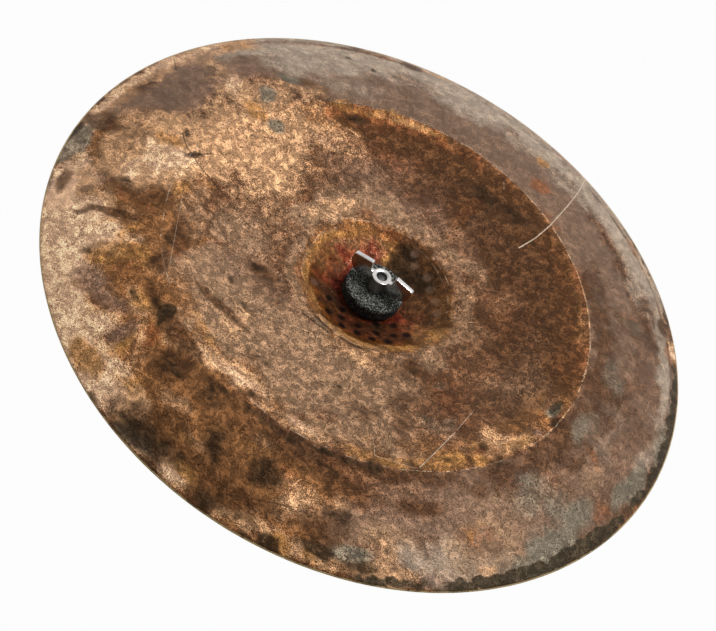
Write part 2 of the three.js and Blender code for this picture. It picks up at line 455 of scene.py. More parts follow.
# A circular arc in (radius, height) that leaves one point at a given slope and ends at another
class SheetArc:
    def __init__(self, start, end, slope):
        chord = math.atan2(end[1] - start[1], end[0] - start[0])
        self.start, self.slope = start, slope
        self.endSlope = 2 * chord - slope
        self.radius = (end[0] - start[0]) / (math.sin(self.endSlope) - math.sin(slope))

    def at(self, slope):
        return (self.start[0] + self.radius * (math.sin(slope) - math.sin(self.slope)),
                self.start[1] + self.radius * (math.cos(self.slope) - math.cos(slope)))

    def stretch(self, skipStart, skipEnd, steps):
        first = self.slope + skipStart / self.radius
        last = self.endSlope - skipEnd / self.radius
        return [self.at(first + (last - first) * k / steps) for k in range(steps + 1)]


def bendBetween(before, corner, after, steps):
    a, c, b = Vector(before[-1]), Vector(corner), Vector(after[0])
    inner = np.linspace(0, 1, steps + 1)[1:-1]
    return [tuple(a * (1 - s) ** 2 + c * 2 * s * (1 - s) + b * s * s) for s in inner]


def sheetFace(c, steps):
    floor = (0.0, c["rimPlane"] + c["creaseHeight"] - c["bellDepth"])
    crease = (c["creaseRadius"], c["rimPlane"] + c["creaseHeight"])
    fold = (c["foldRadius"], c["rimPlane"] + c["foldHeight"])
    rim = (c["rimRadius"], c["rimPlane"])
    bellArc = SheetArc(floor, crease, 0.0)
    holeSkip = bellArc.radius * math.asin(c["holeRadius"] / bellArc.radius)
    bell = bellArc.stretch(holeSkip, c["creaseBlend"], steps[0])
    bow = SheetArc(crease, fold, c["bowStartSlope"]).stretch(c["creaseBlend"], c["foldBlend"], steps[1])
    flange = SheetArc(fold, rim, c["flangeStartSlope"]).stretch(c["foldBlend"], 0.0, steps[2])
    atCrease = bendBetween(bell, crease, bow, c["creaseBendSteps"])
    atFold = bendBetween(bow, fold, flange, c["foldBendSteps"])
    return bell + atCrease + bow + atFold + flange


def sheetThickness(c, r):
    inward = np.clip((r - c["creaseRadius"]) / (c["foldRadius"] - c["creaseRadius"]), 0, 1)
    outward = np.clip((r - c["foldRadius"]) / (c["rimRadius"] - c["foldRadius"]), 0, 1)
    if r < c["foldRadius"]:
        return c["bellThickness"] + (c["foldThickness"] - c["bellThickness"]) * inward
    return c["foldThickness"] + (c["rimThickness"] - c["foldThickness"]) * outward


def underFace(c, steps):
    upper = sheetFace(c, steps)
    lower = []
    for k, (r, z) in enumerate(upper):
        before, after = upper[max(k - 1, 0)], upper[min(k + 1, len(upper) - 1)]
        along = Vector((after[0] - before[0], after[1] - before[1])).normalized()
        t = sheetThickness(c, r)
        lower.append((r + along.y * t, z - along.x * t))
    return lower


hammering = {
    "flangeCell": 10.5 * mm,
    "flangeDepth": 0.55 * mm,
    "bowCell": 6.0 * mm,
    "bowDepth": 0.32 * mm,
    "rimKeep": 0.25,
    "bellKeep": 0.3,
}
hammerForm = {
    "flangeSoftness": 0.2,
    "bowSoftness": 0.25,
    "randomness": 0.9,
    "power": 1.5,
    "middle": 0.3,
    "pastFold": (-1.5 * mm, 5 * mm),
    "rimFade": 3 * mm,
    "bellFade": 8 * mm,
}


# Hammer dents push both faces of the sheet up and down together
def hammeringGroup(h, form, c):
    group, tree, given, result = newShapeGroup("hammering", h)
    position = tree.partsOf(tree.node("GeometryNodeInputPosition").outputs[0])
    plan = tree.vector(position[0], position[1])
    radius = tree.sizeOf(plan)

    def dents(cell, smoothness):
        cells = tree.node("ShaderNodeTexVoronoi", {
            "Vector": plan, "Scale": tree.math("DIVIDE", 1.0, cell), "Smoothness": smoothness,
            "Randomness": form["randomness"]}, feature="SMOOTH_F1")
        return tree.math("POWER", cells.outputs["Distance"], form["power"])

    inner, outer = form["pastFold"]
    onFlange = tree.mapRange(radius, c["foldRadius"] + inner, c["foldRadius"] + outer)
    onBow = tree.less(1.0, onFlange)
    nearRim = tree.mapRange(radius, c["rimRadius"] - form["rimFade"], c["rimRadius"], 1.0, given["rimKeep"])
    bellEnd = c["creaseRadius"] + form["bellFade"]
    pastBell = tree.mapRange(radius, c["creaseRadius"], bellEnd, given["bellKeep"], 1.0)
    coarse = dents(given["flangeCell"], form["flangeSoftness"])
    fine = dents(given["bowCell"], form["bowSoftness"])
    cell = tree.total(tree.product(coarse, onFlange), tree.product(fine, onBow))
    lift = tree.total(
        tree.product(tree.less(coarse, form["middle"]), given["flangeDepth"], onFlange, nearRim),
        tree.product(tree.less(fine, form["middle"]), given["bowDepth"], onBow, pastBell))
    moved = tree.node("GeometryNodeSetPosition", {"Geometry": given[0], "Offset": tree.vector(z=lift)})
    marked = tree.node("GeometryNodeStoreNamedAttribute", {"Geometry": moved.outputs[0], "Name": "dentEdge",
                                                           "Value": cell}, data_type="FLOAT", domain="POINT")
    endShapeGroup(tree, marked.outputs[0], given, result)
    return group


# What heat, oxide and handling left on the upper face, and the far flange's sheen painted in pale grey.
# Places and sizes are in millimetres on the
# cymbal seen from above, wings along X: (x, y, half length, half width, turn in degrees, strength)
stains = {
    "warm": [
        (-100, -120, 40, 34, -35, 1.2), (-70, -150, 50, 40, 0, 1.0), (-120, -100, 50, 60, 0, 1.0),
        (30, -165, 60, 34, 5, 0.6), (-165, -40, 34, 60, 0, 0.9), (-110, -110, 34, 18, -30, 1.1),
        (100, 90, 30, 30, 0, 0.4), (-180, 90, 14, 30, -25, 0.8), (0, -45, 40, 12, 0, 0.5),
        (-75, -140, 14, 34, 0, 0.8), (20, -168, 70, 24, 0, 0.9), (-40, -160, 50, 28, 0, 0.9),
    ],
    "mauve": [
        (-175, 40, 24, 50, -5, 0.85), (-150, 88, 16, 22, -30, 0.9), (-100, 118, 40, 22, 30, 0.9),
        (-190, -5, 12, 24, 0, 0.8), (-172, -74, 18, 22, 0, 0.9), (125, -95, 36, 40, 30, 0.8),
        (160, -30, 26, 30, 0, 0.8), (-30, 66, 40, 24, 0, 0.5), (80, -150, 40, 16, 30, 0.7),
        (150, 30, 30, 50, 0, 0.8), (-60, -60, 40, 30, 0, 0.5), (30, 80, 16, 26, 0, 0.3),
    ],
    # Pale grey ash stains; those on the far flange are its painted sheen
    "ash": [
        (-99, 156, 46, 18, 35, 0.95), (-20, 182, 60, 15, 5, 0.9), (-138, 122, 24, 18, 40, 0.9),
        (62, 179, 60, 14, -18, 0.85), (130, 142, 34, 14, -48, 0.6), (190, 22, 6, 26, 0, 0.5),
        (-165, 92, 12, 16, -30, 0.6), (-100, 114, 28, 12, 35, 0.4), (160, 10, 12, 20, 0, 0.35),
        (0, 190, 90, 8, 0, 1.1), (-178, -70, 14, 18, 0, 0.7), (136, -128, 22, 14, 45, 0.9),
        (100, 160, 30, 12, -32, 0.9), (168, -88, 14, 16, -25, 0.6), (110, -150, 14, 8, 30, 0.7),
    ],
    "tan": [
        (-114, 40, 36, 44, 10, 0.75), (-140, 0, 26, 28, 0, 1.1), (-92, 76, 34, 14, 20, 0.45),
        (-148, -34, 24, 22, 0, 1.05), (-133, -100, 18, 16, 15, 1.0), (-152, -112, 28, 20, -40, 1.15),
        (-172, -106, 12, 20, 30, 1.0), (-128, -152, 34, 9, -38, 1.1), (-95, -168, 16, 9, -30, 0.9),
        (-20, -194, 10, 5, 0, 1.2), (40, -166, 14, 8, 10, 0.5), (-182, 84, 7, 20, -28, 0.9),
        (-168, 108, 9, 12, -40, 0.8), (169, 110, 4, 9, 40, 0.9), (-84, 20, 16, 26, 0, 0.35),
        (100, -160, 14, 6, -38, 0.5), (-100, 4, 18, 20, 0, 0.5), (64, -186, 18, 4, 18, 0.8),
        (-180, -12, 8, 10, 0, 0.5), (-199, 6, 4, 20, 0, 0.8), (-72, -160, 10, 10, 0, 0.35),
        (150, -122, 8, 4, 45, 0.6), (-26, -125, 26, 6, 5, 0.85), (24, -52, 16, 8, 0, 0.55),
        (-178, -100, 8, 12, 0, 0.7), (-106, -146, 12, 7, 0, 0.7), (-94, -126, 12, 8, 0, 0.6),
        (-82, -142, 8, 12, 0, 0.5), (110, -168, 12, 3, 33, 0.6), (30, -186, 8, 4, 0, 0.4),
        (-146, -92, 24, 14, -10, 0.8), (-40, -164, 12, 5, 0, 0.55), (-146, 62, 12, 15, 20, 0.7),
        (-116, 92, 12, 7, 38, 0.7), (-50, -130, 16, 9, 0, 0.6), (-42, -99, 12, 11, 0, 0.6),
        (-92, -72, 8, 9, 0, 0.5), (-172, 72, 7, 10, -20, 0.8), (10, -152, 10, 4, 0, 0.5),
        (-20, -176, 10, 4, 0, 0.5), (62, -150, 8, 6, 0, 0.45), (-76, -178, 14, 5, -22, 0.9),
    ],
    "sand": [
        (-152, -114, 28, 20, -40, 1.5), (-172, -104, 12, 20, 30, 1.3), (-128, -154, 34, 9, -38, 1.4),
        (-133, -98, 15, 12, 15, 1.1), (-112, -168, 16, 6, -35, 0.9), (-106, -148, 12, 6, 0, 0.8),
        (-145, -28, 14, 18, 0, 0.7), (-148, 62, 6, 12, 20, 0.6), (-182, 88, 5, 14, -28, 0.7),
        (-20, -196, 8, 3, 0, 0.9), (-88, -178, 10, 4, -25, 0.8), (-164, -62, 10, 8, 0, 0.4),
        (-172, -88, 8, 8, 0, 0.6), (169, 108, 3, 6, 40, 0.8), (-198, -4, 3, 14, 0, 0.7),
        (-138, -106, 10, 8, 0, 1.1), (20, -126, 20, 3, 8, 0.45), (-24, -126, 20, 4, 5, 0.55),
        (-78, -166, 8, 4, 0, 0.6), (-100, -158, 10, 4, 0, 0.6),
    ],
    "pale": [
        (-8, -92, 74, 30, 0, 1.1), (24, -62, 40, 18, 10, 0.65), (-60, -84, 38, 24, -30, 1.1),
        (-36, -100, 26, 12, -15, 0.9), (100, 0, 20, 40, 0, 0.45), (-70, -30, 24, 50, 0, 0.45),
        (-40, 52, 30, 12, 20, 0.5), (70, -80, 30, 20, 30, 0.3), (14, 58, 40, 6, 0, 0.6),
        (56, 25, 10, 30, 20, 0.5), (140, -120, 24, 18, 42, 0.6), (-160, -70, 18, 16, 0, 0.6),
        (130, -95, 20, 20, 0, 0.5), (44, -172, 22, 10, 10, 0.4), (165, -25, 14, 16, 0, 0.5),
        (-80, -40, 20, 20, 0, 0.35), (58, -24, 10, 14, 0, 0.7), (-10, -63, 18, 7, 0, 0.9),
        (-92, -70, 12, 16, 0, 1.0), (-90, -38, 10, 12, 0, 0.7), (95, -150, 20, 10, 35, 0.7),
        (100, -60, 20, 26, 0, 0.2), (-110, -40, 14, 14, 0, 0.5),
    ],
    "gold": [
        (-126, 49, 9, 6, 0, 0.9), (-151, -10, 9, 8, 0, 0.8), (-124, -38, 6, 8, 0, 0.6),
        (-112, -104, 16, 14, 0, 0.75), (-126, -112, 10, 8, 0, 0.6), (-95, -122, 8, 6, 0, 0.7),
        (-98, -166, 14, 6, -25, 1.1), (-86, -150, 5, 10, 0, 0.8), (50, -190, 7, 4, 10, 1.1),
        (-14, -190, 10, 4, 0, 0.9), (30, -150, 14, 6, 20, 0.5), (60, -140, 10, 6, 20, 0.4),
        (96, -84, 9, 5, 40, 1.0), (110, -72, 7, 4, 50, 0.9), (30, 172, 6, 5, 0, 0.8),
        (-4, 31, 4, 7, 0, 1.0), (-60, 120, 14, 4, 22, 0.5), (-88, 100, 8, 4, 30, 0.6),
        (-168, 100, 6, 10, -30, 0.6), (-30, -178, 14, 4, 0, 0.5), (0, -160, 12, 5, 0, 0.4),
        (-10, 38, 12, 4, 0, 0.5), (-66, -170, 8, 5, 0, 0.5), (128, -110, 6, 8, 0, 0.4),
        (-130, -90, 4, 14, 0, 0.5), (66, -186, 6, 3, 0, 0.6), (104, -66, 5, 8, 30, 0.4),
    ],
    "rust": [
        (186, -38, 6, 7, 0, 0.6), (160, -12, 10, 4, -30, 0.6), (130, -110, 12, 7, 40, 0.5),
        (40, 147, 8, 6, 0, 0.9), (-76, -138, 5, 9, 0, 1.0), (112, -63, 7, 5, 40, 1.1),
        (16, 98, 5, 17, -12, 0.9), (-127, 47, 7, 6, 0, 0.5), (172, 104, 5, 12, 40, 0.9),
        (-8, 128, 14, 5, 0, 0.8), (122, 36, 6, 20, 0, 0.6), (-40, 88, 18, 9, 0, 0.3),
        (-112, -112, 9, 7, 0, 0.4), (-150, -62, 20, 8, 0, 0.4), (96, 92, 20, 7, -45, 0.6),
        (75, 40, 14, 14, 0, 0.3), (-178, 96, 4, 10, -28, 0.7), (22, 128, 5, 6, 30, 0.6),
        (-30, -20, 10, 10, 0, 0.4), (25, 3, 5, 9, 0, 0.8), (-34, 46, 12, 6, 20, 0.5),
        (-18, 30, 8, 8, 0, 0.7), (110, 165, 8, 4, -35, 0.8), (138, 100, 14, 10, 0, 0.35),
        (60, 126, 12, 5, -25, 0.5), (-100, -76, 6, 8, 0, 0.5), (28, -160, 8, 8, 0, 0.4),
        (40, -190, 16, 4, 0, 0.6), (-60, 96, 14, 3, 0, 0.5), (-26, 100, 4, 6, 0, 0.6),
    ],
    "violet": [
        (-146, 80, 7, 14, -38, 0.9), (-157, 52, 5, 16, -10, 0.8), (-160, 26, 5, 14, 0, 0.6),
        (-124, 92, 14, 4, 20, 0.7), (-116, -134, 18, 6, 0, 0.8), (-92, -148, 5, 6, 0, 1.0),
        (-178, 60, 7, 24, -15, 0.6), (-88, -140, 5, 7, 10, 0.7), (-168, -50, 16, 10, 0, 0.4),
        (130, -145, 10, 6, 40, 0.5), (24, 48, 20, 4, 0, 0.4), (-84, 70, 10, 5, 10, 0.4),
        (-10, 76, 16, 16, 0, 0.5), (-100, -84, 14, 5, 0, 0.4), (-72, -60, 16, 10, 0, 0.4),
        (128, -28, 3, 3, 0, 1.0), (-125, -126, 12, 5, 0, 0.8),
    ],
    "umber": [
        (20, 104, 50, 16, -5, 1.3), (60, 84, 40, 22, -35, 1.2), (92, 44, 24, 44, 10, 1.1),
        (-36, 106, 36, 8, 18, 1.1), (-75, 97, 14, 6, 20, 1.1), (-6, 84, 16, 14, 0, 0.8),
        (-20, -154, 44, 16, 0, 0.55), (40, -144, 40, 10, 18, 0.9), (-56, -148, 8, 14, 0, 0.9),
        (6, -180, 30, 12, 0, 0.7), (-40, -178, 20, 10, 0, 0.65), (-108, -68, 7, 13, 8, 1.1),
        (-101, -92, 6, 10, 20, 0.9), (-140, -56, 26, 9, 10, 0.6), (-66, -180, 10, 6, 0, 0.6),
        (104, -22, 16, 22, 0, 0.6), (66, -48, 28, 20, 0, 0.45), (100, -122, 16, 4, 38, 0.8),
        (130, -60, 4, 20, 20, 0.7), (147, 30, 7, 26, 0, 0.6), (150, 8, 8, 10, 0, 0.5),
        (-192, 20, 5, 30, 0, 0.5), (-115, 98, 16, 5, 15, 0.5), (-55, -46, 9, 6, 0, 1.0),
        (-60, -89, 24, 3, -5, 0.9), (50, -38, 8, 6, 0, 1.0), (-92, -114, 9, 4, -30, 0.8),
        (-120, -108, 9, 4, 0, 0.45), (66, 10, 20, 30, 0, 0.35), (-76, 182, 8, 4, 28, 1.2),
        (-110, 165, 22, 2.4, 38, 0.8), (-140, 140, 18, 2.4, 46, 0.5), (156, 119, 4, 6, 40, 1.2),
        (-62, -128, 22, 5, -28, 1.0), (38, -50, 10, 8, 0, 0.5), (98, -56, 9, 9, 0, 0.5),
        (50, -66, 10, 11, 0, 0.5), (62, -80, 10, 10, 0, 0.5), (38, -90, 10, 11, 0, 0.45),
        (79, -101, 9, 9, 0, 0.6), (68, -160, 12, 8, 20, 0.5), (-170, -24, 9, 9, 0, 0.5),
        (-181, -73, 4, 10, 22, 1.0), (-46, -60, 20, 6, -10, 0.4), (64, -172, 14, 7, 0, 0.7),
        (36, -120, 10, 3, 15, 0.4), (176, 92, 3, 10, 30, 0.8), (-138, -8, 5, 3, 0, 0.3),
        (-90, -6, 6, 8, 0, 0.3), (-143, -80, 15, 2.4, 25, 1.6), (163, 40, 20, 44, 0, 0.4),
        (-186, -22, 8, 9, 20, 1.0), (130, 76, 8, 22, -20, 0.5), (146, 98, 16, 22, -40, 0.7),
    ],
    "slate": [
        (171, -84, 13, 34, -25, 1.2), (178, -50, 7, 14, -12, 0.9), (192, -8, 6, 22, 0, 1.2),
        (160, -60, 10, 8, 0, 0.5), (152, 46, 10, 16, 0, 0.5), (84, -170, 12, 5, 25, 1.0),
        (194, 34, 4, 16, 12, 0.9), (150, -2, 9, 16, 0, 0.6), (-127, 68, 5, 7, 20, 1.3),
        (-112, 51, 5, 5, 30, 1.3), (-127, 93, 7, 4, 10, 1.1), (-193, -46, 6, 16, -8, 1.3),
        (-48, -192, 14, 4, -8, 0.7), (128, -6, 4, 7, 0, 1.0), (145, -70, 10, 14, 0, 0.5),
        (-12, -52, 5, 3, 0, 0.4), (140, 96, 12, 10, 0, 0.4), (80, -60, 14, 20, 0, 0.35),
    ],
    "soot": [
        (-79, -117, 3.6, 4.2, 20, 2.6), (-82, -122, 1.4, 4, 30, 1.4), (-78, -126, 1.4, 4, 0, 1.2),
        (-42, -188, 20, 7, -5, 0.95), (20, -166, 10, 7, 20, 0.75), (4, -193, 8, 8, 0, 0.9),
        (45, -194, 6, 4, 0, 1.2), (66, -158, 9, 5, 40, 0.6), (68, -180, 8, 4, 20, 1.1),
        (-10, -170, 7, 10, 20, 0.65), (-56, -150, 6, 10, 30, 0.55), (-24, -152, 12, 6, -20, 0.6),
        (-198, -34, 3, 12, 0, 0.7), (-158, -90, 4, 2, 30, 0.6), (-152, -54, 4, 3, 0, 0.9),
        (-106, -94, 4, 3, 0, 0.5), (-110, -72, 4, 9, 0, 0.45), (128, -2, 3, 6, 0, 0.9),
        (133, -13, 3, 4, 0, 1.0), (30, 108, 30, 10, 0, 0.6), (-76, 98, 8, 3, 20, 0.8),
        (-96, -184, 7, 2.5, -25, 1.1), (-78, -186, 5, 3, -25, 0.9), (92, -172, 9, 3, 30, 1.0),
        (50, -39, 4, 4, 0, 0.6), (66, -120, 5, 4, 0, 0.9), (-12, -130, 4, 3, 0, 0.9),
        (-60, -46, 5, 3, 0, 0.6), (-146, 2, 1.5, 4, 40, 0.9), (-134, -10, 2, 6, -30, 0.8),
        (6, -140, 56, 3, 0, 0.6), (120, -66, 5, 8, -30, 0.6), (-88, -118, 4, 3, -20, 0.8),
        (-100, -122, 5, 2, -20, 0.6), (-138, -112, 4, 3, 0, 0.6), (-118, -96, 5, 3, 20, 0.4),
        (-92, 149, 2, 2, 0, 0.9), (-110, 148, 2, 2, 0, 0.9), (-88, 136, 2, 1.5, 0, 0.7),
        (22, -84, 2, 1.5, 0, 0.9), (-48, -78, 8, 2, -10, 0.6), (-64, -68, 6, 2, -30, 0.5),
        (-20, -104, 8, 2, -8, 0.5), (96, -84, 4, 2, 30, 0.5), (108, -60, 3, 3, 0, 0.9),
    ],
}

# Bands that follow a circle: (radius, half width, first angle, last angle, strength)
ringStains = {
    "warm": [
        (124, 12, -180, 180, 0.7), (40, 12, -180, 180, 1.2),
    ],
    "mauve": [
        (149, 20, 20, 134, 1.9), (180, 20, -60, 40, 0.8), (150, 12, -60, 20, 0.5),
    ],
    "ash": [
        # The ash bands on the far flange are its painted sheen
        (196, 8, 44, 150, 2.0), (182, 14, 64, 128, 0.5), (194, 6, 14, 44, 0.9),
    ],
    "rust": [
        (199.5, 1.2, 60, 112, 0.5), (127, 7, 97, 137, 1.0), (131, 5, 62, 98, 0.35), (125, 8, 2, 62, 0.5),
        (44, 4, 96, 250, 0.75), (198, 2.5, 112, 150, 0.5), (130, 5, -12, 2, 0.6), (31, 9, 100, 165, 0.7),
        (29, 8, -178, -125, 0.8),
    ],
    "gold": [
        (131, 4, -62, -34, 0.55), (130, 4, -32, 10, 0.4), (131, 3, 98, 132, 0.45), (130, 4, 20, 56, 0.3),
        (131, 4, -70, -60, 0.6), (44, 3, 145, 250, 0.75), (46, 4, -60, -20, 0.65),
        (46, 3, -105, -60, 0.6), (46, 4, -20, 40, 0.7), (44, 4, 116, 150, 0.5), (126, 4, -125, -110, 0.6),
    ],
    "tan": [
        (197, 4, -104, -50, 0.6), (192, 9, -162, -106, 1.5), (197, 6, -180, -160, 0.8),
        (197, 6, 146, 180, 0.9), (196, 6, -118, -96, 0.6), (130, 4, -116, -66, 0.4),
        (129, 5, -34, -10, 0.65), (123, 4, -34, -18, 0.5), (47, 3, -110, -50, 0.75),
        (46, 1.5, 150, 225, 0.6), (135.8, 0.5, -60, 75, 0.8), (131, 3, 104, 124, 0.5),
        (199, 3, 20, 60, 0.4), (118, 6, -30, -22, 0.6), (201, 2, 100, 128, 0.5), (61, 6, 128, 170, 0.6),
    ],
    "sand": [
        (31, 9, 100, 165, 0.16), (196, 8, -162, -112, 1.7), (199, 4, -180, -162, 0.6),
        (199, 4, 150, 180, 0.6),
    ],
    "border": [
        (200.5, 3.8, -46, -8, 1.2), (201.5, 3, -8, 30, 0.8), (201, 2.5, -66, -46, 0.7),
        (202, 1.5, 30, 62, 0.6), (202, 1.2, -110, -66, 0.4),
    ],
    "umber": [
        (146, 9, -40, 50, 0.75), (122, 10, 4, 98, 1.0), (140, 5, -90, -40, 0.95), (34, 14, 4, 98, 1.9),
        (120, 6, 96, 128, 1.0), (44, 5, 22, 98, 0.9), (196.4, 1.0, 12, 76, 0.6),
        (197, 1.0, 104, 160, 0.5), (157, 7, -15, 18, 0.7), (127, 5, -104, -76, 0.25),
        (29, 8, -150, -20, 0.7), (139, 3, -20, 10, 0.8), (27, 7, 160, 215, 0.3), (196, 3, 62, 100, 0.3),
        (125, 8, 62, 100, 1.0),
    ],
    "soot": [
        # The band at 22 mm on the near side is the felt's painted shadow on the bell; the others are dark
        # marks
        (31, 11, 44, 96, 0.9), (138.5, 1.6, -88, -62, 0.7), (50.5, 0.8, -115, -60, 0.7),
        (22, 5, -150, -40, 0.5),
    ],
    "crimson": [
        # The full band at 20.5 mm is the felt's painted shadow around its foot; the wider bands give the bell
        # wall's dark red
        (26, 9, 165, 250, 0.55), (27, 10, 110, 165, 0.9), (27, 10, -110, -30, 0.8),
        (20.5, 3.5, -180, 180, 1.3), (28, 8, -40, 20, 0.6),
    ],
    "ochre": [
        (33, 11, -155, -20, 1.2), (36, 7, 165, 235, 0.6),
    ],
    "pale": [
        # The full band at 54 mm is a painted highlight just outside the bell's crease
        (54, 4, -180, 180, 0.5), (35, 7, 105, 165, 0.5), (62, 8, 104, 176, 1.2),
    ],
}

# Hammer marks in the bell: dark ones on the near wall, light ones on the far one
bellMarks = {
    "dark": [(-17.5, -22.5), (-7.5, -22.5), (6, -27), (17, -23), (26, -17.5), (22, -9), (-4.5, -29.5),
             (17.5, -31), (26, -26), (-12.5, -34), (8.5, -34), (-1, -37), (13.5, -15.5), (32, -12)],
    "light": [(20, 34), (26, 28), (33, 22), (9.5, 37), (-30.5, -22.5), (38.5, 14.5), (5, 43)],
    "radius": 2.8,
    "depth": 0.4,
}

# How stains and bands fade, in shares of their half width, and how their outlines wander, in millimetres
patches = {
    "stainEdge": (0.35, 1.6),
    "bandEdge": (0.45, 1.5),
    "bandEndDegrees": 8,
    "steadyHalf": 14,
    "wanderSize": 26,
    "wanderReach": 46,
    "bandHalf": 8,
    "bandWanderSize": 11,
    "bandWanderReach": 16,
    "scallop": 1.7,
    "scallopLength": 3.4,
    "scallopRadius": 190,
    "scallopHalf": 1.3,
    "cloudSize": 13,
    "bandCloudSize": 16,
    "foldEdge": (-0.6, 0.8),
    "markEdge": (0.5, 1.25),
    "dentEdge": (0.2, 1.2),
}

# Scratches: points along each, half width and strength; the edges are in shares of the half width
scratches = {
    "light": [
        (((58.5, 197), (60.5, 172), (61, 150), (60, 121), (57.5, 106), (53, 92)), 0.30, 1.0),
        (((90, -62), (88, -82), (86, -101)), 0.22, 0.80),
        (((91, -40), (90, -59)), 0.18, 0.55),
        (((20, 129), (23, 124)), 0.20, 0.35),
        (((-122, -38), (-97, -90)), 0.14, 0.35),
        (((-188, -38), (-184, -52)), 0.25, 0.50),
        (((55, -102), (62, -113), (84, -104)), 0.16, 0.45),
    ],
    "dark": [
        (((-148, 0), (-140, -8), (-128, -13), (-105, -18)), 0.30, 0.85),
        (((-127, 0), (-134, -11)), 0.55, 0.75),
        (((-190, 60), (-183, 50)), 0.30, 0.60),
        (((-22, -53), (-4, -53)), 0.50, 0.75),
        (((4, -51), (16, -48), (26, -41)), 0.35, 0.75),
        (((8, -190), (46, -170)), 0.25, 0.50),
    ],
    "circles": [(46.6, 0.16, 0.30), (49.2, 0.20, 0.40), (51.4, 0.12, 0.25), (135.4, 0.16, 0.60)],
    "lineEdge": 1.8,
    "circleEdge": 2.2,
}


# Stains end in a wandering edge: the smaller the stain, the less its outline wanders
def ellipseMask(x, y, wander, stain):
    cx, cy, a, b, turn, strength = stain
    c, s = math.cos(math.radians(turn)), math.sin(math.radians(turn))
    keep = min(1.0, (min(a, b) / patches["steadyHalf"]) ** 1.5)
    dx, dy = x + wander[0] * keep - cx, y + wander[1] * keep - cy
    away = np.hypot((dx * c + dy * s) / a, (dy * c - dx * s) / b)
    return strength * (1 - smoothStep(*patches["stainEdge"], away))


# Bands wander in and out, and the wider ones at the rim have scalloped edges
def ringMask(radius, angle, wander, ring):
    p = patches
    r, half, first, last, strength = ring
    scalloped = r > p["scallopRadius"] and half > p["scallopHalf"]
    scallop = p["scallop"] * np.abs(np.sin(np.radians(angle) * r / p["scallopLength"])) if scalloped else 0
    across = np.abs(radius + scallop + wander * min(1.0, half / p["bandHalf"]) - r) / half
    middle, reach, fade = (first + last) / 2, (last - first) / 2, p["bandEndDegrees"]
    away = np.abs((angle - middle + 180) % 360 - 180)
    along = 1 - smoothStep(reach - fade, reach + fade, away) if reach < 180 else 1.0
    return strength * (1 - smoothStep(*p["bandEdge"], across)) * along


def wandering(x, y, size, reach, seed):
    return (clouds(x, y, size, seed) - 0.5) * reach


# Writes one soft mask for each kind of stain; the material gives them ragged edges
def paintCymbal(mesh):
    p, foldRadius = patches, cymbal["foldRadius"] / mm
    x, y = (placesOf(mesh) / mm).T[:2]
    radius, angle = np.hypot(x, y), np.degrees(np.arctan2(y, x))
    normals = np.zeros(len(mesh.vertices) * 3)
    mesh.vertices.foreach_get("normal", normals)
    upper = (normals.reshape(-1, 3)[:, 2] > 0).astype(float)
    wander = [wandering(x, y, p["wanderSize"], p["wanderReach"], seed) for seed in (3, 4)]
    ringWander = wandering(x, y, p["bandWanderSize"], p["bandWanderReach"], 5)
    bandStrength = 0.45 + 1.1 * clouds(x, y, p["bandCloudSize"], 8)
    outside = smoothStep(foldRadius + p["foldEdge"][0], foldRadius + p["foldEdge"][1], radius)
    for number, kind in enumerate(layer[0] for layer in stainOrder):
        mask = np.zeros_like(x)
        for stain in stains.get(kind, []):
            pastFold = kind in ("ash", "mauve") and math.hypot(*stain[:2]) > foldRadius
            here = ellipseMask(x, y, wander, stain) * (outside if pastFold else 1)
            mask = np.maximum(mask, here) + 0.3 * np.minimum(mask, here)
        for ring in ringStains.get(kind, []):
            side = outside if ring[0] > foldRadius + 1 else 1 - outside
            mask = np.maximum(mask, ringMask(radius, angle, ringWander, ring) * bandStrength * side)
        setAttribute(mesh, kind, mask * (0.80 + 0.40 * clouds(x, y, p["cloudSize"], 20 + number)) * upper)
    for kind in ("dark", "light"):
        mask = np.zeros_like(x)
        for mx, my in bellMarks[kind]:
            away = np.hypot(x - mx, y - my) / bellMarks["radius"]
            mask = np.maximum(mask, 1 - smoothStep(*p["markEdge"], away))
        setAttribute(mesh, kind + "Mark", mask * upper)
    setAttribute(mesh, "upper", upper)


# Presses the bell's marks a little into both faces of the sheet
def dentBell(mesh):
    places = placesOf(mesh)
    x, y = places[:, 0] / mm, places[:, 1] / mm
    for mx, my in bellMarks["dark"] + bellMarks["light"]:
        away = np.hypot(x - mx, y - my) / bellMarks["radius"]
        places[:, 2] -= bellMarks["depth"] * mm * (1 - smoothStep(*patches["dentEdge"], away))
    mesh.vertices.foreach_set("co", places.ravel())
    mesh.update()


bronze = {
    "ground": rgb(0.128, 0.056, 0.025),
    "groundLight": rgb(0.250, 0.118, 0.055),
    "groundRed": rgb(0.170, 0.059, 0.023),
    "warm": rgb(0.275, 0.120, 0.042),
    "mauve": rgb(0.250, 0.155, 0.102),
    # pale grey of the ash stains, also the far flange's painted sheen
    "ash": rgb(0.530, 0.415, 0.310),
    "tan": rgb(0.660, 0.375, 0.195),
    "sand": rgb(0.930, 0.580, 0.360),
    "pale": rgb(0.370, 0.220, 0.125),
    "gold": rgb(0.430, 0.205, 0.062),
    "umber": rgb(0.086, 0.035, 0.013),
    "border": rgb(0.068, 0.049, 0.028),
    "soot": rgb(0.032, 0.018, 0.008),
    "slate": rgb(0.225, 0.190, 0.135),
    "rust": rgb(0.300, 0.099, 0.032),
    "violet": rgb(0.270, 0.153, 0.100),
    "crimson": rgb(0.165, 0.018, 0.007),
    "ochre": rgb(0.135, 0.041, 0.006),
    "edge": rgb(0.62, 0.45, 0.22),
    "lightScratch": rgb(0.68, 0.54, 0.40),
    "darkScratch": rgb(0.020, 0.012, 0.008),
    "darkMark": rgb(0.005, 0.002, 0.002),
    "lightMark": rgb(0.36, 0.22, 0.15),
    "under": rgb(0.205, 0.118, 0.066),
    "underLight": rgb(0.320, 0.190, 0.100),
    "redShare": 0.55,
    "pitCover": 0.7,
    "markCover": {"dark": 0.92, "light": 0.25},
    "circleWander": 6 * mm,
    "metallic": 0.60,
    "specular": 0.12,
}

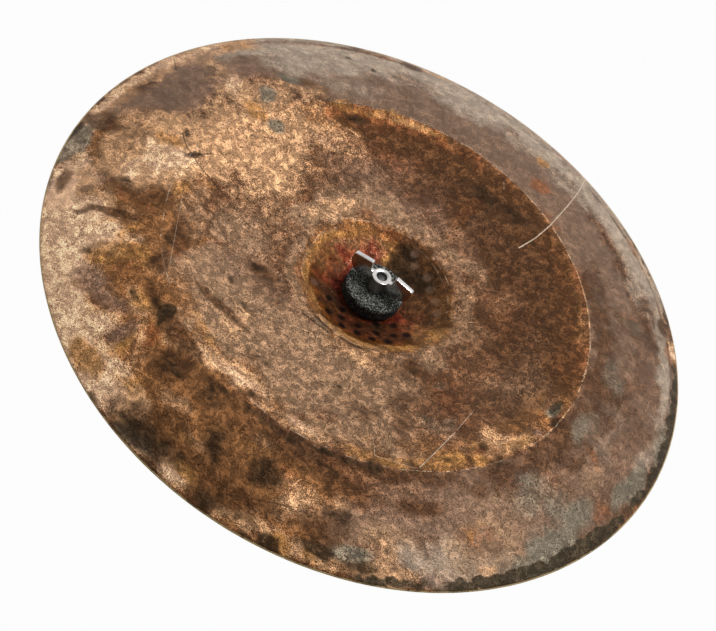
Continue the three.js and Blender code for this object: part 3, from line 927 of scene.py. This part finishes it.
# One after another: kind, how ragged its edge is, how soft, and how much it covers
stainOrder = [
    ("warm", 2.0, 0.45, 0.85), ("mauve", 1.4, 0.50, 0.85), ("ash", 1.3, 0.50, 0.85),
    ("pale", 2.4, 0.44, 0.85), ("rust", 3.0, 0.36, 0.75), ("ochre", 2.0, 0.40, 0.95),
    ("crimson", 2.4, 0.42, 0.90), ("tan", 2.4, 0.32, 0.92), ("sand", 2.8, 0.34, 0.90),
    ("gold", 3.0, 0.34, 0.85), ("violet", 2.0, 0.42, 0.80), ("umber", 3.0, 0.36, 0.82),
    ("slate", 1.6, 0.42, 0.85), ("border", 0.9, 0.16, 0.95), ("soot", 3.4, 0.36, 0.88),
]


# Scales of the skin's noises, in cells to the metre
bronzeSkin = {
    "patch": 105.0,
    "wrinkle": 210.0,
    "grain": 1700.0,
    "cells": 130.0,
    "dents": 210.0,
    "pores": 480.0,
    "specks": 820.0,
    "broad": 22.0,
    "bump": 0.6 * mm,
}


# One stain over another colour: noise breaks up the soft mask before it is laid over
def stainGroup():
    group, tree, given, result = newShaderGroup("stainLayer", [
        ("Colour", "Color"), ("Stain", "Color"), ("Mask", "Float"), ("Noise", "Float"), ("Ragged", "Float"),
        ("Softness", "Float"), ("Cover", "Float")], [("Colour", "Color"), ("Amount", "Float")])
    shifted = tree.product(tree.less(given["Noise"], 0.5), given["Ragged"])
    broken = tree.total(given["Mask"], shifted)
    present = tree.mapRange(given["Mask"], 0.02, 0.30)
    amount = tree.mapRange(broken, tree.less(0.5, given["Softness"]), tree.total(0.5, given["Softness"]))
    amount = tree.product(amount, present, given["Cover"])
    tree.links.new(tree.mixColour(amount, given["Colour"], given["Stain"]), result["Colour"])
    tree.links.new(amount, result["Amount"])
    return group


# How much of a straight scratch from one point to another is at this place
def scratchGroup():
    group, tree, given, result = newShaderGroup("scratch", [
        ("Place", "Vector"), ("Start", "Vector"), ("End", "Vector"),
        ("Half", "Float"), ("Strength", "Float")], [("Mask", "Float")])

    def vector(operation, a, b):
        return tree.node("ShaderNodeVectorMath", {0: a, 1: b}, operation=operation).outputs

    along = vector("SUBTRACT", given["End"], given["Start"])[0]
    here = vector("SUBTRACT", given["Place"], given["Start"])[0]
    share = tree.math("DIVIDE", vector("DOT_PRODUCT", here, along)["Value"],
                      vector("DOT_PRODUCT", along, along)["Value"], clamp=True)
    nearest = tree.scaled(along, share)
    away = vector("DISTANCE", here, nearest)["Value"]
    edge = tree.product(given["Half"], scratches["lineEdge"])
    mask = tree.mapRange(away, given["Half"], edge, 1.0, 0.0)
    tree.links.new(tree.product(mask, given["Strength"]), result["Mask"])
    return group


# Height and shade of the fine hammered and pickled skin of raw bronze; the shade is painted light and shade
# of that relief, lighter on crests and cell middles and darker in valleys and at cell edges, together with
# the skin's dark specks, cracks and arcs
def skinGroup(s):
    group, tree, given, result = newShaderGroup("bronzeSkin", [("Place", "Vector")], [
        ("Grain", "Float"), ("Patch", "Float"), ("Shade", "Float"), ("Pit", "Float"), ("Height", "Float")])
    place = given["Place"]
    patch = tree.noise(place, s["patch"], 4.0, 0.60, 0.8)
    wrinkle = tree.noise(place, s["wrinkle"], 4.0, 0.58, 0.6)
    grain = tree.noise(place, s["grain"], 2.0, 0.60)
    cells = tree.node("ShaderNodeTexVoronoi", {"Vector": place, "Scale": s["cells"], "Smoothness": 0.25},
                      feature="SMOOTH_F1").outputs["Distance"]
    dents, pores, specks = (tree.distances(place, s[kind]) for kind in ("dents", "pores", "specks"))
    pit = tree.product(tree.mapRange(pores, 0.16, 0.32, 1.0, 0.0), tree.mapRange(patch, 0.44, 0.56))
    line = tree.mapRange(tree.apart(wrinkle, 0.47), 0.0, 0.030, 1.0, 0.0)
    crack = tree.product(line, tree.mapRange(grain, 0.40, 0.58))
    arc = tree.mapRange(tree.apart(dents, 0.34), 0.02, 0.07, 1.0, 0.0)
    arc = tree.product(arc, tree.mapRange(patch, 0.46, 0.54))
    shade = tree.product(tree.mapRange(wrinkle, 0.40, 0.60, 0.70, 1.34, "LINEAR"),
                         tree.mapRange(grain, 0.42, 0.58, 0.56, 1.52, "LINEAR"),
                         tree.mapRange(patch, 0.38, 0.62, 0.91, 1.09, "LINEAR"),
                         tree.mapRange(cells, 0.15, 0.60, 1.07, 0.91, "LINEAR"),
                         tree.mapRange(specks, 0.12, 0.34, 0.66, 1.04),
                         tree.mapRange(arc, 0.0, 1.0, 1.0, 0.74, "LINEAR"),
                         tree.mapRange(crack, 0.0, 1.0, 1.0, 0.48, "LINEAR"))
    height = tree.total(tree.product(wrinkle, 1.6), tree.product(cells, 1.1), tree.product(grain, 0.35))
    sunk = tree.total(tree.product(pit, 0.5), tree.product(crack, 0.25), tree.product(arc, 0.25))
    height = tree.less(height, sunk)
    values = {"Grain": grain, "Patch": patch, "Shade": shade, "Pit": pit, "Height": height}
    for title, value in values.items():
        tree.links.new(value, result[title])
    return group


def bronzeMaterial(b):
    material, tree, shader = newMaterial("rawBronze")
    skin = useGroup(tree, skinGroup(bronzeSkin), {"Place": tree.place()})
    broad = tree.noise(tree.place(shift=(3, 1, 0)), bronzeSkin["broad"], 4.0, 0.6, 0.5)
    speck = tree.total(tree.product(skin["Patch"], 0.5), tree.product(skin["Grain"], 0.5))
    colour = tree.mixColour(tree.mapRange(speck, 0.42, 0.60), b["ground"], b["groundLight"])
    redness = tree.product(tree.mapRange(broad, 0.48, 0.66), b["redShare"])
    colour = tree.mixColour(redness, colour, b["groundRed"])
    under = tree.mixColour(tree.mapRange(broad, 0.35, 0.65), b["under"], b["underLight"])
    stain = stainGroup()
    for kind, ragged, softness, cover in stainOrder:
        laid = useGroup(tree, stain, {"Colour": colour, "Stain": b[kind], "Mask": tree.attribute(kind),
                                      "Noise": speck, "Ragged": ragged, "Softness": softness, "Cover": cover})
        colour, soot = laid["Colour"], laid["Amount"]
    colour = tree.mixColour(tree.attribute("upper"), under, colour)
    # Painted shade of the hammered relief: dents darker at their edges and lighter in their middles, and the
    # skin's shade, held calmer on the ash, sheen and mauve patches
    dentShade = tree.mapRange(tree.attribute("dentEdge"), 0.1, 0.6, 1.07, 0.88)
    smoother = tree.largest(tree.attribute("ash"), tree.attribute("mauve"))
    calm = tree.mapRange(smoother, 0.20, 0.80, 1.0, 0.48)
    shade = tree.total(1.0, tree.product(tree.less(skin["Shade"], 1.0), calm))
    colour = tree.scaled(colour, tree.product(shade, dentShade))
    colour = tree.mixColour(tree.product(skin["Pit"], b["pitCover"], calm), colour, b["umber"])
    for kind, cover in b["markCover"].items():
        mark = kind + "Mark"
        colour = tree.mixColour(tree.product(tree.attribute(mark), cover), colour, b[mark])
    plan = tree.place(scale=(1, 1, 0))
    scratch = scratchGroup()
    broken = tree.mapRange(skin["Grain"], 0.40, 0.54, 0.3, 1.0)
    for kind in ("light", "dark"):
        masks = []
        for points, half, strength in scratches[kind]:
            for start, end in zip(points[:-1], points[1:]):
                first, last = ((at[0] * mm, at[1] * mm, 0) for at in (start, end))
                masks.append(useGroup(tree, scratch, {"Place": plan, "Start": first, "End": last,
                                                      "Half": half * mm, "Strength": strength})["Mask"])
        lines = tree.product(tree.largest(*masks), broken, tree.attribute("upper"))
        colour = tree.mixColour(lines, colour, b[kind + "Scratch"])
    radius = tree.sizeOf(plan)
    wavering = tree.total(radius, tree.product(tree.less(broad, 0.5), b["circleWander"]))
    masks = []
    for away, half, strength in scratches["circles"]:
        edge = half * scratches["circleEdge"] * mm
        here = tree.mapRange(tree.apart(wavering, away * mm), half * mm, edge, 1.0, 0.0)
        masks.append(tree.product(here, strength))
    patchy = tree.mapRange(skin["Patch"], 0.46, 0.60)
    lines = tree.product(tree.largest(*masks), patchy, broken, tree.attribute("upper"))
    colour = tree.mixColour(lines, colour, b["lightScratch"])
    rim = cymbal["rimRadius"]
    edge = tree.product(tree.mapRange(radius, rim - 1.0 * mm, rim - 0.5 * mm),
                        tree.mapRange(skin["Patch"], 0.40, 0.52, 0.35, 1.0))
    colour = tree.mixColour(edge, colour, b["edge"])
    tree.feed(shader.inputs["Base Color"], colour)
    rough = tree.total(tree.mapRange(skin["Grain"], 0.3, 0.7, 0.40, 0.56, "LINEAR"), tree.product(soot, 0.06))
    tree.feed(shader.inputs["Roughness"], rough)
    shader.inputs["Metallic"].default_value = b["metallic"]
    shader.inputs["Specular IOR Level"].default_value = b["specular"]
    bump = tree.node("ShaderNodeBump", {
        "Strength": 0.9, "Distance": bronzeSkin["bump"], "Height": skin["Height"]})
    tree.feed(shader.inputs["Normal"], bump.outputs[0])
    return material


def makeCymbal(c):
    outline = sheetFace(c, c["topSteps"]) + underFace(c, c["underSteps"])[::-1]
    obj = addObject("cymbalSheet", turnedMesh("cymbalSheet", outline, c["segments"]))
    growShape(obj, hammeringGroup(hammering, hammerForm, c), dict(hammering, finish=bronzeMaterial(bronze)))
    dentBell(obj.data)
    paintCymbal(obj.data)
    finishPiece(obj, "cymbal", "cymbal")


# Felts: pressed wool rings whose faces on the bell follow its bowl

feltBottom, feltTop = (corner.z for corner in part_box("upper_felt"))
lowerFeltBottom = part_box("lower_felt")[0].z
felts = {
    "radius": 18.55 * mm,
    "boreRadius": 5.65 * mm,
    "rounding": 1.6 * mm,
    "step": 0.75 * mm,
    "segments": 150,
    "bowlRadius": (cymbal["creaseRadius"] ** 2 + cymbal["bellDepth"] ** 2) / (2 * cymbal["bellDepth"]),
    "touchGap": 0.32 * mm,
    "headHeight": 3.4 * mm,
    "seamRounding": 0.1 * mm,
    "tuck": 0.5 * mm,
    "footBore": 6.4 * mm,
    "footHold": 1.8 * mm,
    "seatHold": 3.6 * mm,
    "faceSteps": 6,
    "roundingSteps": 6,
    "fill": 0.9,
}
wool = {
    "lumpHeight": 0.34 * mm,
    "fuzzHeight": 0.20 * mm,
    "fibresPerMetre2": 1.15e6,
    "fibreLength": 1.9 * mm,
    "fibreRadius": 0.045 * mm,
    "seed": 4,
}
# Random values are (lowest, highest, seed)
woolForm = {
    "lumpScale": 260.0,
    "fuzzScale": 1100.0,
    "detail": 2.0,
    "noiseRough": 0.5,
    "sink": 0.62,
    "fibreSteps": 4,
    "fibreSides": 3,
    "spin": (-3.1, 3.1, 7),
    "tilt": (-0.25, 0.25, 8),
    "size": (0.5, 1.25, 9),
}
woolColours = {
    "dark": rgb(0.008, 0.008, 0.007),
    "mid": rgb(0.045, 0.047, 0.041),
    "light": rgb(0.370, 0.375, 0.335),
    "speckScale": 1050.0,
    "tuftScale": 420.0,
    # The painted shade on the felt's wall fades in between these depths under its top
    "shadedBelow": 3.0 * mm,
    "litAbove": 1.1 * mm,
    "litShares": (0.20, 0.90),
    "roughness": 0.95,
    "specular": 0.08,
    "sheen": 0.03,
    "bump": 0.3 * mm,
}


# Lumps and fuzz on the wool, and short fibres that lie on it
def woolGroup(w, form):
    group, tree, given, result = newShapeGroup("woolFelt", w)
    position = tree.node("GeometryNodeInputPosition").outputs[0]
    normal = tree.node("GeometryNodeInputNormal").outputs[0]

    def rise(kind):
        noise = tree.noise(position, form[kind + "Scale"], form["detail"], form["noiseRough"])
        return tree.product(tree.less(noise, form["sink"]), given[kind + "Height"])

    def anyFrom(low, high, seed):
        made = tree.node("FunctionNodeRandomValue", {2: low, 3: high, "Seed": seed}, data_type="FLOAT")
        return made.outputs[1]

    offset = tree.scaled(normal, tree.total(rise("lump"), rise("fuzz")))
    body = tree.node("GeometryNodeSetPosition", {"Geometry": given[0], "Offset": offset}).outputs[0]
    spread = tree.node("GeometryNodeDistributePointsOnFaces", {
        "Mesh": body, "Density": given["fibresPerMetre2"], "Seed": given["seed"]})
    half = tree.product(given["fibreLength"], 0.5)
    curve = tree.node("GeometryNodeCurveQuadraticBezier", {
        "Resolution": form["fibreSteps"], "Start": tree.vector(x=tree.product(half, -1.0)),
        "Middle": tree.vector(y=half), "End": tree.vector(x=half)}).outputs[0]
    ring = tree.node("GeometryNodeCurvePrimitiveCircle", {
        "Resolution": form["fibreSides"], "Radius": given["fibreRadius"]})
    fibre = tree.node("GeometryNodeCurveToMesh", {"Curve": curve, "Profile Curve": ring.outputs[0],
                                                  "Fill Caps": True}).outputs[0]
    turn = tree.vector(x=anyFrom(*form["tilt"]), z=anyFrom(*form["spin"]))
    turned = tree.node("FunctionNodeRotateRotation", {
        "Rotation": spread.outputs["Rotation"], "Rotate By": turn}, rotation_space="LOCAL").outputs[0]
    fibres = tree.node("GeometryNodeInstanceOnPoints", {
        "Points": spread.outputs["Points"], "Instance": fibre, "Rotation": turned,
        "Scale": anyFrom(*form["size"])}).outputs[0]
    both = tree.node("GeometryNodeJoinGeometry")
    tree.links.new(body, both.inputs[0])
    tree.links.new(fibres, both.inputs[0])
    endShapeGroup(tree, both.outputs[0], given, result)
    return group


# The felt shows light flecks; painted shade darkens it down its wall, which stays nearly black
def woolMaterial(w):
    material, tree, shader = newMaterial("charcoalWool")
    place = tree.place()
    speck = tree.noise(place, w["speckScale"], 2.0, 0.6, 0.8)
    tuft = tree.noise(place, w["tuftScale"], 3.0, 0.6, 1.0)
    dark, clear = feltTop - w["shadedBelow"], feltTop - w["litAbove"]
    # Painted shade: the wool's colour grows darker from its top down its wall
    clean = tree.mapRange(tree.partsOf(place)[2], dark, clear, *w["litShares"])
    colour = tree.mixColour(tree.product(tree.mapRange(tuft, 0.40, 0.58), clean), w["dark"], w["mid"])
    colour = tree.mixColour(tree.product(tree.mapRange(speck, 0.51, 0.61), clean), colour, w["light"])
    tree.feed(shader.inputs["Base Color"], colour)
    shader.inputs["Roughness"].default_value = w["roughness"]
    shader.inputs["Specular IOR Level"].default_value = w["specular"]
    shader.inputs["Sheen Weight"].default_value = w["sheen"]
    bump = tree.node("ShaderNodeBump", {"Strength": 0.9, "Distance": w["bump"], "Height": speck})
    tree.feed(shader.inputs["Normal"], bump.outputs[0])
    return material


def feltOutline(f, bore, bottomAt, topAt, roundings):
    outer, steps = f["radius"], f["faceSteps"]
    radii = [bore + (outer - bore) * k / steps for k in range(steps + 1)]
    corners = [(r, topAt(r), 0) for r in radii[:-1]] + [(outer, topAt(outer), roundings[1])]
    corners += [(outer, bottomAt(outer), roundings[0])] + [(r, bottomAt(r), 0) for r in radii[-2::-1]]
    return refined(roundedOutline(corners, f["roundingSteps"]), f["step"])


# The upper felt is made as a foot that lies on the bell and a head under the nut
def makeFelts(f):
    seam = feltTop - f["headHeight"]
    full, tucked = f["rounding"], f["tuck"]
    bowlCentre = cymbal["rimPlane"] + cymbal["creaseHeight"] - cymbal["bellDepth"] + f["bowlRadius"]
    onBowl = lambda r, offset: bowlCentre - math.sqrt((f["bowlRadius"] + offset) ** 2 - r * r)
    above = lambda r: onBowl(r, -f["touchGap"])
    below = lambda r: onBowl(r, cymbal["bellThickness"] + f["touchGap"])
    at = lambda height: lambda r: height
    head = feltOutline(f, f["boreRadius"], at(seam), at(feltTop), (f["seamRounding"], full))
    foot = feltOutline(f, f["footBore"], above, at(seam + tucked), (full, tucked))
    lower = feltOutline(f, f["boreRadius"], at(lowerFeltBottom), below, (full, full))
    footHold, seatHold = feltBottom + f["footHold"], lowerFeltBottom + f["seatHold"]
    group, material = woolGroup(wool, woolForm), woolMaterial(woolColours)
    for name, node, outline, bodies, start, end in (
            ("upperFelt", "upper_felt", head, ("post", "upper_felt"), seam, feltTop),
            ("upperFeltFoot", "upper_felt", foot, ("cymbal", "swivel"), footHold, seam),
            ("lowerFelt", "lower_felt", lower, ("swivel", "cymbal"), seatHold, below(f["boreRadius"]))):
        obj = addObject(name, turnedMesh(name, outline, f["segments"]))
        growShape(obj, group, dict(wool, finish=material))
        finishPiece(obj, node, None)
        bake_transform(obj)


# Thread: a ridge that winds up a turned surface wherever its "thread" attribute is set

thread = {
    "pitch": 1.25 * mm,
    "rowsPerTurn": 9,
    "sharpness": 1.5,
    "rootShare": 0.25,
    "merge": 0.002 * mm,
}


def threadGroup(t):
    group, tree, given, result = newShapeGroup("screwThread", ["pitch", "ridgeHeight", "sharpness"])
    parts = tree.partsOf(tree.node("GeometryNodeInputPosition").outputs[0])
    angle = tree.math("ARCTAN2", parts[1], parts[0])
    turns = tree.less(tree.math("DIVIDE", parts[2], given["pitch"]), tree.math("DIVIDE", angle, 2 * math.pi))
    across = tree.apart(tree.product(tree.math("FRACT", turns), 2.0), 1.0)
    ridge = tree.less(tree.product(across, given["sharpness"]), t["rootShare"], clamp=True)
    weight = tree.node("GeometryNodeInputNamedAttribute", {"Name": "thread"}, data_type="FLOAT").outputs[0]
    rise = tree.product(ridge, given["ridgeHeight"], weight)
    plan = tree.vector(parts[0], parts[1])
    outward = tree.node("ShaderNodeVectorMath", {0: plan}, operation="NORMALIZE").outputs[0]
    offset = tree.scaled(outward, rise)
    moved = tree.node("GeometryNodeSetPosition", {"Geometry": given[0], "Offset": offset})
    closed = tree.node("GeometryNodeMergeByDistance", {"Geometry": moved.outputs[0], "Distance": t["merge"]})
    endShapeGroup(tree, closed.outputs[0], given, result)
    return group


screwThread = threadGroup(thread)


def cutThread(obj, ridge, material):
    growShape(obj, screwThread, {"pitch": thread["pitch"], "ridgeHeight": ridge,
                                 "sharpness": thread["sharpness"], "finish": material})


# Metals of the fittings: one group gives their faint wear and the painted shade in their recesses, each
# material its own shader values.
# Scales of the wear's noises, in cells to the metre
wearScales = {
    "smear": 220.0,
    "dust": 1800.0,
}


def wearGroup(s):
    group, tree, given, result = newShaderGroup("plateWear", [
        ("Place", "Vector"), ("Colour", "Color"), ("Roughness", "Float"), ("Wear", "Float"),
        ("Grime", "Float")], [("Colour", "Color"), ("Roughness", "Float")])
    smear = tree.noise(given["Place"], s["smear"], 4.0, 0.6)
    dust = tree.noise(given["Place"], s["dust"], 3.0, 0.6)
    dull = tree.product(tree.mapRange(smear, 0.45, 0.7), given["Wear"])
    shade = tree.less(1.0, tree.product(dull, tree.mapRange(dust, 0.35, 0.65, 0.2, 0.6)))
    # Painted shade: darker where the recess shade attribute is set, in bores, under the hub's collar and on
    # the rod inside the nut
    shade = tree.product(shade, tree.mapRange(given["Grime"], 0.0, 1.0, 1.0, 0.16, "LINEAR"))
    rough = tree.total(given["Roughness"], tree.product(dull, 0.25), tree.product(given["Grime"], 0.15))
    tree.links.new(tree.scaled(given["Colour"], shade), result["Colour"])
    tree.links.new(rough, result["Roughness"])
    return group


plateWear = wearGroup(wearScales)


def metalMaterial(name, look):
    material, tree, shader = newMaterial(name)
    worn = useGroup(tree, plateWear, {
        "Place": tree.place(), "Colour": look["colour"], "Roughness": look["roughness"],
        "Wear": look["wear"], "Grime": tree.attribute("grime")})
    tree.feed(shader.inputs["Base Color"], worn["Colour"])
    tree.feed(shader.inputs["Roughness"], worn["Roughness"])
    shader.inputs["Metallic"].default_value = 1.0
    return material


# Wing nut: a turned hub with its thread, and two rounded wings along X

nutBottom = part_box("wing_nut")[0].z
wingNut = {
    "height": 10.3 * mm,
    "baseRadius": 6.4 * mm,
    "neckRadius": 5.5 * mm,
    "collar": (6.05 * mm, 2.0 * mm),
    "minorRadius": 3.36 * mm,
    "ridge": 0.72 * mm,
    "segments": 72,
    "chamfer": 0.25 * mm,
    "edge": 0.3 * mm,
    "neckBlend": 0.6 * mm,
    "threadFade": 0.8 * mm,
    "hubShade": 0.7,
    "wingHalfThickness": 1.5 * mm,
    "wingEdge": 0.45 * mm,
    "wingEdgePoints": 5,
    "hubEdgeSteps": 4,
    "colour": rgb(0.80, 0.77, 0.75),
    "roughness": 0.20,
    "wear": 0.35,
}

# Outline of a wing in millimetres: (from the axis, above the hub's top, rounding)
wingCorners = [
    (4.4, -9.3, 0), (5.5, -9.3, 0), (9.5, -9.2, 1.5), (16.9, -8.0, 2.2), (21.45, -2.6, 2.4),
    (20.95, 4.75, 1.4), (8.35, 6.49, 0.8), (7.3, -0.2, 0.3), (4.4, -0.2, 0),
]


# Rows of a threaded cylinder: (radius, height, strength of the thread), which fades in at both ends
def boreRows(radius, bottom, top, fade):
    rows = math.ceil((top - bottom) / (thread["pitch"] / thread["rowsPerTurn"]))
    heights = [bottom + (top - bottom) * k / rows for k in range(rows + 1)]
    return [(radius, z, float(smoothStep(0, fade, min(z - bottom, top - z)))) for z in heights]


def wingParts(n, side):
    top = nutBottom + n["height"]
    outline = roundedOutline([(x * mm, top + z * mm, r * mm) for x, z, r in wingCorners])
    flat = np.array(outline)
    before, after = np.roll(flat, 1, axis=0), np.roll(flat, -1, axis=0)
    along = after - before
    inward = np.stack([-along[:, 1], along[:, 0]], -1) / np.linalg.norm(along, axis=1)[:, None]
    bend = np.linspace(0, math.pi / 2, n["wingEdgePoints"])
    half, edge = n["wingHalfThickness"], n["wingEdge"]
    layers = [(half - edge + edge * math.sin(t), edge * (1 - math.cos(t))) for t in bend]
    levels = [(-y, inset) for y, inset in reversed(layers)] + layers
    points = [(x * side, y * side, z) for y, inset in levels for x, z in flat + inward * inset]
    count = len(flat)
    around = [(i, (i + 1) % count) for i in range(count)]
    faces = [[k * count + i, (k + 1) * count + i, (k + 1) * count + j, k * count + j]
             for k in range(len(levels) - 1) for i, j in around]
    faces.append(list(range(count)))
    faces.append([(len(levels) - 1) * count + i for i in reversed(range(count))])
    return points, faces


def makeWingNut(n):
    bottom, top = nutBottom, nutBottom + n["height"]
    collarRadius, collarHeight = n["collar"]
    chamfer, edge = n["chamfer"], n["edge"]
    mouth = n["minorRadius"] + chamfer
    outer = roundedOutline([
        (mouth, top, 0), (collarRadius, top, edge), (collarRadius, top - collarHeight / 2, edge),
        (n["neckRadius"], top - collarHeight, n["neckBlend"]), (n["baseRadius"], bottom, edge),
        (mouth, bottom, 0)], n["hubEdgeSteps"])
    bore = boreRows(n["minorRadius"], bottom + chamfer, top - chamfer, n["threadFade"])
    outline = outer + [(r, z) for r, z, _ in bore]
    weights = [0.0] * len(outer) + [w for _, _, w in bore]
    hub = turnedParts(outline, n["segments"])
    mesh = joined("wingNut", hub, wingParts(n, 1), wingParts(n, -1))
    threadWeights = np.zeros(len(mesh.vertices))
    threadWeights[:len(outline) * n["segments"]] = np.repeat(weights, n["segments"])
    setAttribute(mesh, "thread", threadWeights)
    # Painted shade on the hub below its collar and in the threaded bore
    shaded = [n["hubShade"] * smoothStep(top - collarHeight / 2, top - collarHeight, z) for _, z in outer]
    grime = threadWeights.copy()
    grime[:len(outer) * n["segments"]] = np.repeat(shaded, n["segments"])
    setAttribute(mesh, "grime", grime)
    obj = addObject("wingNut", mesh)
    cutThread(obj, n["ridge"], metalMaterial("brightPlate", n))
    finishPiece(obj, "wing_nut", "wing_nut")


# Threaded rod

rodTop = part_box("rod")[1].z
rod = {
    "coreRadius": 3.12 * mm,
    "ridge": 0.83 * mm,
    "tipRadius": 2.5 * mm,
    "tipChamfer": 0.5 * mm,
    "footChamfer": 0.4 * mm,
    "threadFade": 0.9 * mm,
    "shadeRise": 1 * mm,
    "segments": 48,
    "colour": rgb(0.48, 0.48, 0.46),
    "roughness": 0.38,
    "wear": 0.5,
}


def makeRod(r):
    side = boreRows(r["coreRadius"], r["footChamfer"], rodTop - r["tipChamfer"], r["threadFade"])[::-1]
    outline = [(0.0, rodTop), (r["tipRadius"], rodTop)] + [(a, z) for a, z, _ in side]
    outline += [(r["coreRadius"] - r["footChamfer"], 0.0), (0.0, 0.0)]
    weights = [0.0, 0.0] + [w for _, _, w in side] + [0.0, 0.0]
    mesh = turnedMesh("threadedRod", outline, r["segments"])
    setAttribute(mesh, "thread", np.repeat(weights, r["segments"]))
    # Painted shade on the rod where it runs inside the nut and up to its tip
    setAttribute(mesh, "grime", smoothStep(nutBottom - r["shadeRise"], nutBottom, placesOf(mesh)[:, 2]))
    obj = addObject("threadedRod", mesh)
    cutThread(obj, r["ridge"], metalMaterial("rodSteel", r))
    finishPiece(obj, "rod", "post")


# Sleeve, cup washer and seat nut under the cymbal

sleeveBox, washerBox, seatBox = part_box("sleeve"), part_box("cup_washer"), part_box("seat_nut")
sleeve = {
    "bore": 4.3 * mm,
    "radius": 5.25 * mm,
    "flangeHeight": 2.0 * mm,
    "edges": (0.2 * mm, 0.5 * mm, 0.3 * mm, 0.5 * mm, 0.4 * mm, 0.3 * mm),
    "segments": 72,
    "colour": rgb(0.030, 0.030, 0.030),
    "roughness": 0.45,
}
cupWasher = {
    "bore": 5.65 * mm,
    "thickness": 1.5 * mm,
    "lip": 1.2 * mm,
    "edges": (0.2 * mm, 0.8 * mm, 0.4 * mm, 0.5 * mm, 0.6 * mm, 0.8 * mm, 0.2 * mm),
    "segments": 108,
    "colour": rgb(0.66, 0.66, 0.66),
    "roughness": 0.24,
    "wear": 0.5,
}
seatNut = {
    "bore": 4.3 * mm,
    "flats": 13 * mm,
    "chamferSlope": math.tan(math.radians(30)),
    "boreChamfer": 0.3 * mm,
    "faceInset": 0.2 * mm,
    "segments": 144,
    "colour": rgb(0.63, 0.63, 0.62),
    "roughness": 0.28,
    "wear": 0.5,
}


def roundedTurn(name, corners, s):
    outline = roundedOutline([(*at, rounding) for at, rounding in zip(corners, s["edges"])])
    return addObject(name, turnedMesh(name, outline, s["segments"]))


def makeSleeve(s):
    low, high = sleeveBox
    flangeRadius, flangeTop = high.x, low.z + s["flangeHeight"]
    corners = [(s["bore"], high.z), (s["radius"], high.z), (s["radius"], flangeTop),
               (flangeRadius, flangeTop), (flangeRadius, low.z), (s["bore"], low.z)]
    obj = roundedTurn("nylonSleeve", corners, s)
    material, _, shader = newMaterial("blackNylon")
    shader.inputs["Base Color"].default_value = s["colour"]
    shader.inputs["Roughness"].default_value = s["roughness"]
    obj.data.materials.append(material)
    finishPiece(obj, "sleeve", "post")


def makeCupWasher(w):
    low, high = washerBox
    radius, plateTop = high.x, low.z + w["thickness"]
    corners = [(w["bore"], plateTop), (radius - w["lip"], plateTop), (radius - w["lip"], high.z),
               (radius, high.z), (radius, plateTop), (radius - w["thickness"], low.z), (w["bore"], low.z)]
    obj = roundedTurn("cupWasher", corners, w)
    obj.data.materials.append(metalMaterial("washerPlate", w))
    finishPiece(obj, "cup_washer", "swivel")


# A hexagon seen as a turned shape whose radius changes with the angle, cut by a cone at each end
def makeSeatNut(n):
    low, high = seatBox
    turn = np.linspace(0, 2 * math.pi, n["segments"], endpoint=False)
    side = n["flats"] / 2 / np.cos((turn + math.pi / 6) % (math.pi / 3) - math.pi / 6)
    faceRadius, bore, chamfer = n["flats"] / 2 - n["faceInset"], n["bore"], n["boreChamfer"]
    drop = (side - faceRadius) * n["chamferSlope"]
    ring = lambda r, z: np.stack([r * np.cos(turn), r * np.sin(turn), z + 0 * turn], -1)
    rings = [ring(bore + chamfer, high.z), ring(faceRadius, high.z), ring(side, high.z - drop),
             ring(side, low.z + drop), ring(faceRadius, low.z), ring(bore + chamfer, low.z),
             ring(bore, low.z + chamfer), ring(bore, high.z - chamfer)]
    count, segments = len(rings), n["segments"]
    rows = [(i * segments, (i + 1) % count * segments) for i in range(count)]
    faces = [(a + j, b + j, b + (j + 1) % segments, a + (j + 1) % segments)
             for a, b in rows for j in range(segments)]
    obj = addObject("seatNut", meshFrom("seatNut", np.concatenate(rings), faces, smooth=False))
    obj.data.materials.append(metalMaterial("nutSteel", n))
    finishPiece(obj, "seat_nut", "post")


target = Vector((0, 0, cymbal["rimPlane"]))
addCamera(cameraView, target)
addStudio(studio, target)
bpy.context.scene.view_settings.view_transform = "Standard"
print("camera and studio ready")
makeCymbal(cymbal)
makeFelts(felts)
makeWingNut(wingNut)
makeRod(rod)
makeSleeve(sleeve)
makeCupWasher(cupWasher)
makeSeatNut(seatNut)

print("pieces ready")
